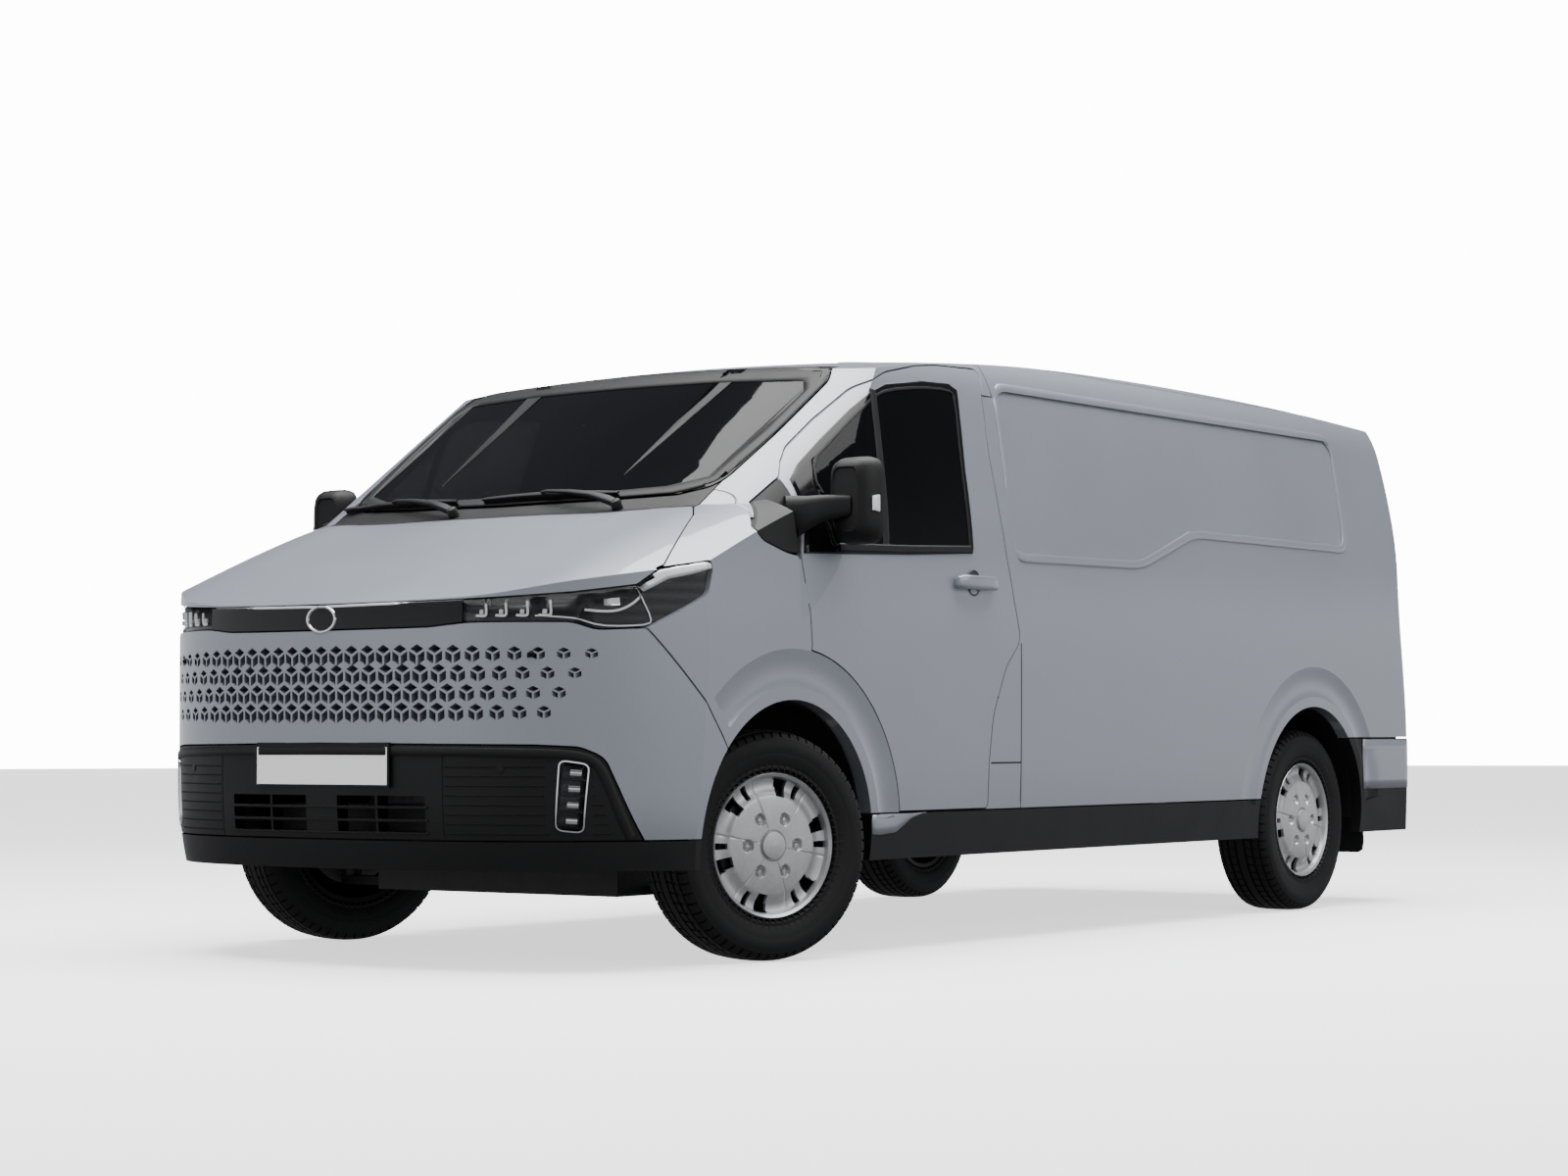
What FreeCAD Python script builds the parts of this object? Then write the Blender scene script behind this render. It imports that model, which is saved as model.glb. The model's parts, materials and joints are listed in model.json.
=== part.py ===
import FreeCAD, Part
import Sketcher
import math
import os

os.makedirs("parts", exist_ok=True)
doc = FreeCAD.newDocument("panel_van")

# Driving dimensions, all in millimetres, angles in degrees.
# X runs forward, Y to the vehicle's left, Z up from the ground,
# with the origin midway along and across the vehicle.
SIZES = (
    ("overall_length", 5364),
    ("body_width", 2030),
    ("body_height", 1980),
    ("wheelbase", 3366),
    ("front_overhang", 976),
    ("rear_overhang", 1022),
    ("wall", 45),
    ("glass", 6),
    ("panel_gap", 5),
    ("overrun", 400),
    ("body_bottom", 286),
    ("sill_top", 428),
    ("lip_top", 372),
    ("corner_radius", 40),
    ("roof_edge", 792),
    ("door_inner_y", 798),
    ("header_depth", 150),
    ("lamp_split", 500),
    ("arch_radius", 430),
    ("arch_shift", 35),
    ("flare_radius", 584),
    ("lip_band", 38),
    ("flare_depth", 8),
    ("flare_front_start", 48),
    ("flare_rear_start", 8),
    ("flare_end", 172),
    ("perforation_pitch", 60),
    ("perforation_top", 899),
    ("perforation_rise", 55),
    ("perforation_half", 825),
    ("perforation_inset", 34.7),
    ("perforation_fade", 380),
    ("slot_half", 380),
    ("slot_top", 498),
    ("slot_height", 29),
    ("slot_rise", 37),
    ("slot_bar", 8),
    ("slot_split", 205),
    ("slot_block_half", 62),
    ("slot_block_top", 480),
    ("plate_width", 520),
    ("plate_height", 110),
    ("plate_low", 528),
    ("plate_thickness", 3),
    ("window_low", 150),
    ("window_high", 192),
    ("window_angle", 7.5),
    ("slit_low", 166),
    ("slit_angle", 2.5),
    ("slit_turn", 17),
    ("lug_circle", 88),
    ("lug_pocket", 19),
    ("tyre_radius", 343),
    ("tyre_width", 215),
    ("rim_width", 190),
    ("track", 1724),
    ("kingpin_offset", 62),
    ("steer_angle", 19),
    ("hub_radius", 55),
    ("liner_inner_y", 530),
    ("rear_box_inner_y", 690),
    ("liner_radius", 424),
    ("liner_thickness", 10),
    ("floor_top", 575),
    ("floor_thickness", 30),
    ("cab_floor_top", 470),
    ("cab_floor_half", 925),
    ("toe_board_x", 415),
    ("footwell_x", 130),
    ("footwell_half", 525),
    ("shelf_top", 815),
    ("shelf_reach", 160),
    ("rail_height", 105),
    ("rail_width", 70),
    ("rail_y", 605),
    ("rail_inset", 90),
    ("front_rail_y", 415),
    ("front_rail_z", 350),
    ("beam_inset", 190),
    ("beam_half_width", 600),
    ("battery_length", 1375),
    ("battery_height", 169.4),
    ("battery_bottom", 270),
    ("battery_front", 1365),
    ("drive_length", 520),
    ("drive_width", 620),
    ("drive_height", 380),
    ("drive_bottom", 300),
    ("drive_back", 80),
    ("bulkhead_thickness", 25),
    ("bulkhead_x", 1290),
    ("seat_width", 500),
    ("seat_y", 440),
    ("seat_depth", 480),
    ("seat_height", 420),
    ("seat_cushion", 160),
    ("seat_back_height", 620),
    ("seat_back_thickness", 130),
    ("seat_front_x", 520),
    ("bench_width", 860),
    ("steering_wheel_radius", 195),
    ("steering_rim_radius", 15),
    ("steering_wheel_x", 425),
    ("steering_wheel_z", 1105),
    ("mirror_height", 270),
    ("mirror_width", 190),
    ("mirror_depth", 110),
    ("mirror_arm", 40),
    ("axle_tube_radius", 38),
    ("spring_width", 70),
    ("spring_thickness", 16),
    ("spring_length", 1150),
    ("spring_drop", 22),
    ("hub_stand", 60),
    ("axle_notch", 75),
    ("towbar_front", 222),
    ("towbar_pitch", 100),
    ("towbar_z", 492),
    ("towbar_hole", 6.5),
    ("hub_stub", 110),
    ("flange", 30),
    ("frame_depth", 60),
    ("frame_clearance", 8),
    ("carrier_bar", 60),
    ("carrier_depth", 60),
    ("bumper_beam_z", 500),
    ("panel_beam_z", 720),
    ("lamp_beam_z", 975),
    ("carrier_back", 2170),
    ("carrier_half", 850),
    ("hinge_leaf", 60),
    ("bead_radius", 206),
    ("bead_inset", 22),
    ("rim_flange_radius", 219),
    ("bulge_radius", 276),
    ("shoulder_radius", 322),
    ("shoulder_inset", 8),
    ("tread_inset", 26),
    ("hub_bore", 32),
    ("disc_inset", 60),
    ("disc_thickness", 8),
    ("disc_edge", 200),
    ("rim_flange", 9),
    ("barrel_radius", 190),
    ("arm_width", 70),
    ("arm_z", 185),
    ("arm_thickness", 28),
    ("strut_radius", 26),
    ("strut_y", 655),
    ("strut_bottom", 500),
    ("strut_top", 757),
    ("coil_radius", 55),
    ("coil_bottom", 600),
    ("member_length", 420),
    ("knuckle_radius", 32),
    ("knuckle_top", 440),
    ("bench_y", 300),
    ("seat_inset", 40),
    ("column_angle", 25),
    ("boss_radius", 60),
    ("boss_depth", 50),
    ("shaft_radius", 25),
    ("spoke_radius", 11),
    ("shaft_length", 260),
    ("mirror_back", 110),
    ("mirror_inner_y", 992),
    ("mirror_low", 1240),
    ("mirror_rounding", 30),
    ("mirror_arm_z", 1345),
    ("dash_half_width", 900),
    ("tail_lamp_y", 800),
    ("shut_slant", 0.2),
    ("lip_share", 0.98),
    ("bumper_reach", 300),
    ("wiper_z", 1369),
    ("wiper_foot_z", 1356),
    ("wiper_lift", 14),
    ("screen_rake", 29),
    ("wiper_radius", 6),
    ("wiper_1_low", -745),
    ("wiper_1_high", -190),
    ("wiper_2_low", -78),
    ("wiper_2_high", 460),
    ("bulge_half", 14),
    ("rear_hinge_low", 740),
    ("rear_hinge_high", 1560),
    ("door_hinge_low", 620),
    ("door_hinge_high", 1060),
    ("bonnet_hinge_y", 600),
    ("bumper_top", 654),
    ("roof_low", 1750),
    ("rear_door_gap", 8),
    ("seat_gap", 0.3),
    ("cowl_low", 1185),
    ("cowl_half", 745),
)
for row, (name, value) in enumerate(SIZES, 1):
    sheet_cell = "A%d" % row
    if row == 1:
        sheet = doc.addObject("Spreadsheet::Sheet", "sizes")
    sheet.set(sheet_cell, str(value))
    sheet.setAlias(sheet_cell, name)
doc.recompute()


class Sizes:
    """Reads a size from the sheet by its alias."""

    def __getattr__(self, name):
        return float(sheet.get(name))


d = Sizes()
half_width = d.body_width / 2
front_x = d.overall_length / 2
rear_x = -front_x
front_axle = front_x - d.front_overhang
rear_axle = front_axle - d.wheelbase
reach = d.overall_length + d.overrun
axle_z = d.tyre_radius


def station(share):
    """X of a share: 1 at the nose, 0 and -1 at the axles, -2 at the tail."""
    if share >= 0:
        return front_axle + share * d.front_overhang
    if share >= -1:
        return front_axle + share * d.wheelbase
    return rear_axle + (share + 1) * d.rear_overhang


def side_points(shares):
    """Outline points in the side view, from (station, height, radius) shares."""
    out = []
    for point in shares:
        radius = point[2] if len(point) > 2 else 0
        out.append((station(point[0]), point[1] * d.body_height, radius * d.corner_radius))
    return out


def front_points(shares):
    """Outline points in the front view, from (half width, height, radius) shares."""
    out = []
    for point in shares:
        radius = point[2] if len(point) > 2 else 0
        out.append((point[0] * half_width, point[1] * d.body_height, radius * d.corner_radius))
    return out


def plan_points(shares):
    """Outline points in plan, from (station, half width, radius) shares."""
    out = []
    for point in shares:
        radius = point[2] if len(point) > 2 else 0
        out.append((station(point[0]), point[1] * half_width, radius * d.corner_radius))
    return out


def outline(points, place):
    """Closed wire through points (u, v, radius), with corners rounded by arcs."""
    count = len(points)
    ends = []
    for index in range(count):
        u0, v0 = points[index - 1][:2]
        u1, v1, radius = points[index]
        u2, v2 = points[(index + 1) % count][:2]
        here = FreeCAD.Vector(u1, v1, 0)
        back = FreeCAD.Vector(u0, v0, 0) - here
        ahead = FreeCAD.Vector(u2, v2, 0) - here
        turn = math.pi - back.getAngle(ahead)
        if radius <= 0 or turn < 0.01:
            ends.append((here, None, here))
            continue
        cut = radius * math.tan(turn / 2)
        cut = min(cut, 0.49 * back.Length, 0.49 * ahead.Length)
        radius = cut / math.tan(turn / 2)
        back.normalize()
        ahead.normalize()
        middle = back + ahead
        middle.normalize()
        depth = radius / math.cos(turn / 2) - radius
        ends.append((here + back * cut, here + middle * depth, here + ahead * cut))
    edges = []
    for index in range(count):
        start, mid, stop = ends[index]
        after = ends[(index + 1) % count][0]
        if mid is not None:
            arc = Part.Arc(place(start.x, start.y), place(mid.x, mid.y), place(stop.x, stop.y))
            edges.append(arc.toShape())
        if (after - stop).Length > 1e-6:
            edges.append(Part.makeLine(place(stop.x, stop.y), place(after.x, after.y)))
    return Part.Wire(edges)


def prism(points, place, along, grow=0):
    """Solid swept from an outline, which may first grow outward."""
    wire = outline(points, place)
    if grow:
        wire = wire.makeOffset2D(grow)
    return Part.Face(wire).extrude(along)


def side_prism(points, low=None, high=None, grow=0):
    """Side view outline swept across from y low to y high."""
    low = -half_width - d.overrun if low is None else low
    high = half_width + d.overrun if high is None else high
    return prism(points, lambda x, z: FreeCAD.Vector(x, low, z),
                 FreeCAD.Vector(0, high - low, 0), grow)


def front_prism(points, low, high, grow=0):
    """Front view outline swept along from x low to x high."""
    return prism(points, lambda y, z: FreeCAD.Vector(low, y, z),
                 FreeCAD.Vector(high - low, 0, 0), grow)


def plan_prism(points, low=0, high=None, grow=0):
    """Plan outline swept up from z low to z high."""
    high = d.body_height + d.overrun if high is None else high
    return prism(points, lambda x, y: FreeCAD.Vector(x, y, low),
                 FreeCAD.Vector(0, 0, high - low), grow)


def box(x0, x1, y0, y1, z0, z1):
    """Block between two corners."""
    return Part.makeBox(x1 - x0, y1 - y0, z1 - z0, FreeCAD.Vector(x0, y0, z0))


def cross_cylinder(radius, x, z, y0, y1):
    """Cylinder that lies across the vehicle."""
    return Part.makeCylinder(radius, y1 - y0, FreeCAD.Vector(x, y0, z), FreeCAD.Vector(0, 1, 0))


def mirrored(shape):
    """The same piece on the other side of the vehicle."""
    return shape.mirror(FreeCAD.Vector(0, 0, 0), FreeCAD.Vector(0, 1, 0))


def both(shape):
    """A piece and its mirror image in one shape."""
    return Part.makeCompound([shape, mirrored(shape)])


# The outer skin of the body is the space shared by six curved solids.
def spline(points):
    """Smooth curve through points."""
    curve = Part.BSplineCurve()
    curve.interpolate(points)
    return curve


def swept_surface(path, rail):
    """Surface made by carrying one curve along the other."""
    poles = [[p + q for q in rail.getPoles()] for p in path.getPoles()]
    surface = Part.BSplineSurface()
    surface.buildFromPolesMultsKnots(
        poles, path.getMultiplicities(), rail.getMultiplicities(), path.getKnots(),
        rail.getKnots(), False, False, path.Degree, rail.Degree)
    return surface.toShape()


def two_sided(points):
    """Mirrors (across, other) points, which start at the centre line."""
    return [(-across, other) for across, other in points[:0:-1]] + list(points)


section_shares = (
    (0.9635, 0.0758), (0.9754, 0.1515), (0.9852, 0.2172), (0.9961, 0.3788), (1, 0.5051),
    (0.9951, 0.5808), (0.9852, 0.6313), (0.935, 0.7576), (0.8749, 0.8788), (0.8552, 0.9131),
    (0.8296, 0.9424), (0.7961, 0.9667), (0.7537, 0.9874), (0.6798, 1.0126), (0.5517, 1.0455))
nose_shares = (
    (0, 1), (0.2463, 0.9887), (0.5025, 0.9467), (0.6897, 0.8658), (0.8049, 0.7736),
    (0.8867, 0.6814), (0.9458, 0.5891), (0.9852, 0.502), (1.0197, 0.3893))
nose_lean_shares = (
    (-0.0615, 0.0758), (-0.041, 0.1263), (-0.0123, 0.1869), (0, 0.2778), (0.002, 0.4293),
    (0, 0.5303), (-0.0164, 0.6313), (-0.0512, 0.7323), (-0.1025, 0.8586), (-0.2459, 1.1364))
tail_shares = (
    (0, 0), (0.3941, 0.002), (0.6897, -0.0117), (0.8374, -0.0372), (0.9064, -0.0685),
    (0.9507, -0.1125), (0.9852, -0.1761), (1.0197, -0.274))
tail_lean_shares = (
    (-0.0294, 0.0758), (-0.0078, 0.202), (0, 0.303), (-0.0098, 0.404), (-0.0489, 0.5556),
    (-0.0832, 0.7576), (-0.1155, 0.9596), (-0.137, 1.1364))
bonnet_shares = (
    (1.2295, 0.4848), (1, 0.5318), (0.6148, 0.6101), (0.2408, 0.6813), (0, 0.7197))
bonnet_crown_shares = (
    (0, 0), (0.3941, -0.004), (0.5911, -0.0081), (0.7547, -0.0131), (0.8374, -0.0212),
    (0.9064, -0.0313), (0.9734, -0.0465), (1.0443, -0.0707))
roof_shares = (
    (0.5123, 0.7879), (0.3074, 0.8313), (-0.0297, 0.8914), (-0.1485, 0.9343), (-0.2793, 0.9652),
    (-0.3951, 0.9823), (-0.5942, 0.9965), (-0.8318, 1), (-1.229, 0.9939), (-1.9139, 0.9778),
    (-2.3053, 0.9646))
roof_crown_shares = (
    (0, 0), (0.3941, -0.004), (0.6404, -0.0111), (0.7882, -0.0182), (1.0443, -0.0323))
screen_base_shares = (0.2408, 0.6803)
screen_top_shares = (-0.1485, 0.9343)
screen_crown_shares = (
    (0, 0), (0.3941, -0.0225), (0.5911, -0.0512), (0.7488, -0.084), (0.7882, -0.1025),
    (0.8374, -0.1465), (0.8867, -0.2305), (0.931, -0.3689), (0.9704, -0.5533), (1.0049, -0.7992),
    (1.0443, -1.127))


def section_points(inset):
    """Half cross-section of the body, moved inward by an inset."""
    points = [FreeCAD.Vector(0, y * half_width, z * d.body_height) for y, z in section_shares]
    if not inset:
        return points
    curve = spline(points)
    moved = []
    for point in points:
        along = curve.tangent(curve.parameter(point))[0]
        moved.append(point + FreeCAD.Vector(0, -along.z, along.y) * inset)
    return moved


def section_solid(inset):
    """The body's cross-section carried along the whole vehicle."""
    shift = FreeCAD.Vector(rear_x - d.overrun, 0, 0)
    left = [point + shift for point in section_points(inset)]
    right = [FreeCAD.Vector(point.x, -point.y, point.z) for point in left]
    wire = Part.Wire([
        spline(left).toShape(), Part.makeLine(left[-1], right[-1]),
        spline(right).toShape(), Part.makeLine(right[0], left[0])])
    return Part.Face(wire).extrude(FreeCAD.Vector(reach + d.overrun, 0, 0))


def end_solid(plan_shares, lean_shares, overhang, end_x, inset, facing):
    """All that lies behind the nose, or ahead of the tail."""
    plan = [FreeCAD.Vector(end_x + facing * (share * overhang - inset), y * half_width, 0)
            for y, share in two_sided(plan_shares)]
    lean = [FreeCAD.Vector(facing * share * overhang, 0, z * d.body_height)
            for share, z in lean_shares]
    skin = swept_surface(spline(plan), spline(lean))
    return skin.extrude(FreeCAD.Vector(-facing * reach * 2, 0, 0))


def under_solid(profile_shares, crown_shares, inset):
    """All that lies below the bonnet or the roof."""
    profile = [FreeCAD.Vector(station(x), 0, z * d.body_height - inset)
               for x, z in profile_shares]
    crown = [FreeCAD.Vector(0, y * half_width, z * d.body_height)
             for y, z in two_sided(crown_shares)]
    skin = swept_surface(spline(profile), spline(crown))
    return skin.extrude(FreeCAD.Vector(0, 0, -d.body_height * 2))


def screen_solid(inset):
    """All that lies behind the windscreen's curved plane."""
    base = FreeCAD.Vector(station(screen_base_shares[0]), 0,
                          screen_base_shares[1] * d.body_height)
    top = FreeCAD.Vector(station(screen_top_shares[0]), 0,
                         screen_top_shares[1] * d.body_height)
    slope = top - base
    inward = FreeCAD.Vector(-slope.z, 0, slope.x)
    inward.normalize()
    profile = [base + slope * share + inward * inset for share in (-2.6, -1, 0, 1, 2.2)]
    crown = [FreeCAD.Vector(share * d.front_overhang, y * half_width, 0)
             for y, share in two_sided(screen_crown_shares)]
    skin = swept_surface(spline(profile), spline(crown))
    return skin.extrude(FreeCAD.Vector(-reach * 2, 0, 0))


def body_solid(inset):
    """The whole outside of the van, or that moved inward by an inset."""
    ends = end_solid(nose_shares, nose_lean_shares, d.front_overhang, front_axle, inset, 1)
    ends = ends.common(end_solid(tail_shares, tail_lean_shares, d.rear_overhang, rear_x, inset, -1))
    whole = section_solid(inset).common(ends)
    bottom = 0 if inset else d.body_bottom
    whole = whole.common(box(rear_x - d.overrun, front_x + d.overrun, -reach, reach,
                             bottom, d.body_height + d.overrun))
    cabin = whole.common(under_solid(roof_shares, roof_crown_shares, inset))
    cabin = cabin.common(screen_solid(inset))
    nose = whole.common(under_solid(bonnet_shares, bonnet_crown_shares, inset))
    nose = nose.common(box(front_axle, front_x + d.overrun, -reach, reach, 0, d.body_height))
    return cabin.fuse(nose).removeSplitter()


body = body_solid(0)
cavity = body_solid(d.wall)
shell = body.cut(cavity)
pane = body.cut(body_solid(d.glass))


# Outlines of the panels, as shares of the body's own sizes.
screen_half_shares = (
    (0, 0.696, 0), (0.3941, 0.6985, 5), (0.6305, 0.703, 2.5), (0.7389, 0.7172, 1.5),
    (0.7606, 0.8081, 20), (0.7655, 0.899, 1.5), (0.734, 0.9283, 1.5), (0.3941, 0.9333, 10),
    (0, 0.9354, 0))
door_shares = (
    (-0.3895, 0.9515, 0.75), (-0.3752, 0.9182, 7.5), (-0.3577, 0.8081, 15), (-0.3512, 0.697, 15),
    (-0.35, 0.6278, 12.5), (-0.3574, 0.5556, 7.5), (-0.3678, 0.4924, 1.5),
    (-0.3411, 0.4495, 3.75), (-0.3191, 0.3692, 5), (-0.3131, 0.2929, 0), (-0.3131, 0.2182, 0.5),
    (0, 0.2182, 0), (-0.0169, 0.4747, 0), (-0.0134, 0.5333, 7.5), (-0.0169, 0.6035, 7.5),
    (-0.0273, 0.6505, 5), (-0.0315, 0.6864, 1.5), (-0.0321, 0.7278, 0.5),
    (-0.0475, 0.7561, 0.75), (-0.0645, 0.7813, 7.5), (-0.107, 0.8303, 10),
    (-0.1601, 0.8874, 7.5), (-0.208, 0.9187, 7.5), (-0.2674, 0.9384, 7.5), (-0.3075, 0.946, 7.5))
window_shares = (
    (0.21, 0.6404, 0.35), (-0.0241, 0.7298, 5), (-0.0817, 0.797, 10), (-0.1316, 0.8525, 7.5),
    (-0.1625, 0.8838, 5), (-0.1928, 0.9015, 7.5), (-0.2564, 0.9152, 10), (-0.309, 0.9182, 0.5),
    (-0.3217, 0.9076, 0.625), (-0.303, 0.7732, 7.5), (-0.2917, 0.6389, 0),
    (-0.2885, 0.6298, 0.3), (-0.063, 0.6136, 7.5), (0.0574, 0.6101, 2.5), (0.1742, 0.6253, 1.5))
pane_shares = (
    (-0.063, 0.6242, 0.375), (-0.0582, 0.6566, 2.5), (-0.0559, 0.702, 3.75),
    (-0.066, 0.7626, 0.5), (-0.0862, 0.7859, 10), (-0.1316, 0.8394, 7.5), (-0.1664, 0.8737, 5),
    (-0.1946, 0.8899, 7.5), (-0.2564, 0.903, 7.5), (-0.3054, 0.9061, 0.625),
    (-0.3137, 0.8965, 0.625), (-0.2965, 0.7732, 7.5), (-0.2846, 0.6384, 0.375))
bonnet_plan_shares = (
    (0.2684, 0, 0), (0.248, -0.3941, 15), (0.1721, -0.73, 0.5), (0.2398, -0.7803, 2.5),
    (0.4426, -0.868, 5), (0.6148, -0.9409, 0), (1.127, -1.0837, 0), (1.127, 1.0837, 0),
    (0.6148, 0.9409, 0), (0.4426, 0.868, 5), (0.2398, 0.7803, 2.5), (0.1721, 0.73, 0.5),
    (0.248, 0.3941, 15))
bonnet_line_shares = (
    (1.1783, 0.5283, 0), (1, 0.5293, 0), (0.9488, 0.5323, 0), (0.7992, 0.5414, 0),
    (0.666, 0.5525, 0), (0.6066, 0.5768, 0), (0.5533, 0.5859, 0), (0.1025, 0.6061, 0),
    (0.1025, 0.8586, 0), (1.1783, 0.8586, 0))
band_shares = (
    (1.1783, 0.4848, 0), (0.9734, 0.4939, 0), (0.9477, 0.5, 5), (0.8064, 0.4995, 1.5),
    (0.7572, 0.4884, 1.5), (0.6445, 0.4914, 0.5), (0.4672, 0.5409, 1), (0.4406, 0.5783, 0.5),
    (0.4477, 0.5899, 0.25), (0.6066, 0.5768, 0), (0.666, 0.5525, 0), (0.7992, 0.5414, 0),
    (0.9488, 0.5323, 0), (1, 0.5293, 0), (1.1783, 0.5283, 0))
bumper_half_shares = (
    (0, 0.1879, 0), (0.9044, 0.1879, 0), (0.864, 0.2621, 2.5), (0.8374, 0.3071, 1.5),
    (0.7882, 0.3212, 1.5), (0.6897, 0.3242, 5), (0, 0.3273, 0))
nose_panel_shares = (
    (1.1783, 0.1879, 0), (0.3074, 0.1879, 0), (0.3074, 0.2828, 0), (0.3873, 0.3354, 0),
    (0.5123, 0.4101, 2.5), (0.6445, 0.4914, 0.5), (0.7572, 0.4884, 1.5), (0.8064, 0.4995, 1.5),
    (0.9477, 0.5, 5), (0.9734, 0.4939, 0), (1.1783, 0.4848, 0))
fender_shares = (
    (0.6445, 0.4914, 0), (0.7172, 0.5556, 0), (0.7172, 0.7576, 0), (0.1537, 0.7576, 0),
    (0.0676, 0.7061, 0.75), (0.0768, 0.6919, 1.5), (0.1137, 0.6742, 1.5), (0.21, 0.6404, 0.35),
    (0.1742, 0.6253, 1.5), (0.0574, 0.6101, 2.5), (-0.0169, 0.6035, 0), (-0.0134, 0.5333, 7.5),
    (-0.0169, 0.4747, 0), (-0.208, 0.4545, 0), (-0.208, 0.1879, 0), (0.3074, 0.1879, 0),
    (0.3074, 0.2828, 0), (0.3873, 0.3354, 0), (0.5123, 0.4101, 2.5))
rear_opening_half_shares = (
    (0, 0.3333, 0), (0.7882, 0.3333, 1), (0.7941, 0.5556, 0), (0.7783, 0.7576, 7.5),
    (0.7241, 0.9343, 1.5), (0, 0.9455, 0))
side_shares = (
    (-2.5988, 0, 0), (-0.309, 0, 0), (-0.309, 0.904, 0), (-0.3832, 0.904, 0),
    (-0.3832, 1.1616, 0), (-2.5988, 1.1616, 0))
slide_door_shares = (
    (-0.3862, 0.2273, 1), (-0.7249, 0.2273, 1.5), (-0.7249, 0.9091, 1), (-0.3862, 0.9091, 1))
recess_shares = (
    (-0.363, 0.6343, 0.75), (-0.6093, 0.6399, 1.5), (-0.7326, 0.7066, 1.5),
    (-1.3425, 0.7056, 1.5), (-1.4354, 0.9232, 1.5), (-0.391, 0.9192, 1))
fog_half_shares = (
    (0.731, 0.2066, 0.35), (0.7882, 0.2025, 0.35), (0.8039, 0.297, 0.35), (0.7488, 0.303, 0.35))
tail_lamp_shares = (
    (-2.1096, 0.4571, 0), (-2.1096, 0.7576, 0), (-1.8307, 0.7576, 0.375),
    (-1.8405, 0.4571, 0.375))
dash_shares = (
    (0.2203, 0.6566, 0.5), (0.041, 0.6591, 1.5), (-0.0357, 0.6525, 1.5), (-0.0743, 0.6111, 2),
    (-0.0891, 0.5354, 1.5), (-0.0743, 0.4545, 1.5), (-0.0297, 0.4217, 0.5),
    (0.1639, 0.4217, 0.5), (0.2049, 0.5051, 1))


def whole_outline(half):
    """A front view outline with its mirror image added."""
    points = front_points(half)
    return points + [(-y, z, radius) for y, z, radius in points[::-1] if y > 0]


def door_region(grow):
    """Left front door, with shut faces that slant so that it swings clear."""
    low = d.door_inner_y - grow
    high = half_width + d.overrun
    shift = d.shut_slant * (half_width - low)
    lean = FreeCAD.Vector(-d.shut_slant * (high - low), high - low, 0)
    region = prism(side_points(door_shares),
                   lambda x, z: FreeCAD.Vector(x + shift, low, z), lean, grow)
    arch = cross_cylinder(d.flare_radius - grow, front_axle + d.arch_shift, axle_z, 0, reach)
    return region.cut(arch)


def window_region(grow):
    return side_prism(side_points(window_shares), d.door_inner_y - grow, None, grow)


def pane_region(grow):
    return side_prism(side_points(pane_shares), d.roof_edge - d.overrun, None, grow)


def screen_region(grow):
    return front_prism(whole_outline(screen_half_shares), front_axle - d.front_overhang,
                       front_axle + d.overrun, grow)


def bonnet_region(grow):
    plan = plan_prism(plan_points(bonnet_plan_shares), 0, None, grow)
    return plan.common(side_prism(side_points(bonnet_line_shares), None, None, grow))


def band_region(grow):
    return side_prism(side_points(band_shares), None, None, grow)


def bumper_region(grow):
    return front_prism(whole_outline(bumper_half_shares), front_axle + d.arch_shift,
                       front_x + d.overrun, grow)


def lip_region(grow):
    back = front_axle + d.arch_shift + d.arch_radius * d.lip_share
    return box(back, front_x + d.overrun, -reach, reach, 0, d.lip_top + grow)


def nose_panel_region(grow):
    return side_prism(side_points(nose_panel_shares), None, None, grow)


def fender_region(grow):
    return side_prism(side_points(fender_shares), None, None, grow)


def cowl_region(grow):
    return box(front_axle, front_axle + d.front_overhang / 2, -d.cowl_half - grow,
               d.cowl_half + grow, d.cowl_low, d.body_height)


def rear_door_region(grow):
    return front_prism(whole_outline(rear_opening_half_shares), rear_x - d.overrun,
                       rear_x + d.rear_overhang / 2, grow)


def rear_bumper_region(grow):
    return box(rear_x - d.overrun, rear_axle - d.bumper_reach + grow, -reach, reach, 0, d.bumper_top + grow)


def sill_region(grow):
    front = front_axle + d.arch_shift
    return box(rear_axle, front, -reach, reach, 0, d.sill_top + grow)


def fog_region(grow):
    region = front_prism(front_points(fog_half_shares), front_axle + d.arch_radius,
                         front_x + d.overrun, grow)
    return region.fuse(mirrored(region))


def rhombus(y, z, size, turn):
    """One face of a small drawn cube, shrunk a little, as a bar along the vehicle."""
    corners = []
    for across, up in RHOMBUS_CORNERS:
        angle = math.radians(turn)
        corners.append((y + size * (across * math.cos(angle) - up * math.sin(angle)),
                        z + size * (across * math.sin(angle) + up * math.cos(angle))))
    edge = Part.makePolygon([FreeCAD.Vector(front_axle + d.arch_radius, a, b)
                             for a, b in corners + corners[:1]])
    return Part.Face(edge).extrude(FreeCAD.Vector(d.front_overhang, 0, 0))


def perforations():
    """Rows of small drawn cubes that grow smaller towards the panel's ends."""
    bars = []
    for row in range(PERFORATION_ROWS):
        half = d.perforation_half - row * d.perforation_inset
        count = round(2 * half / d.perforation_pitch)
        z = d.perforation_top - row * d.perforation_rise
        for index in range(count + 1):
            y = half * (2 * index / count - 1)
            fade = max(0, abs(y) - d.perforation_fade) / (d.perforation_half - d.perforation_fade)
            size = d.perforation_pitch * (1 - FADE_SHARE * fade)
            for turn in (0, 120, 240):
                bars.append(rhombus(y, z, size, turn))
    return bars


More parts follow.
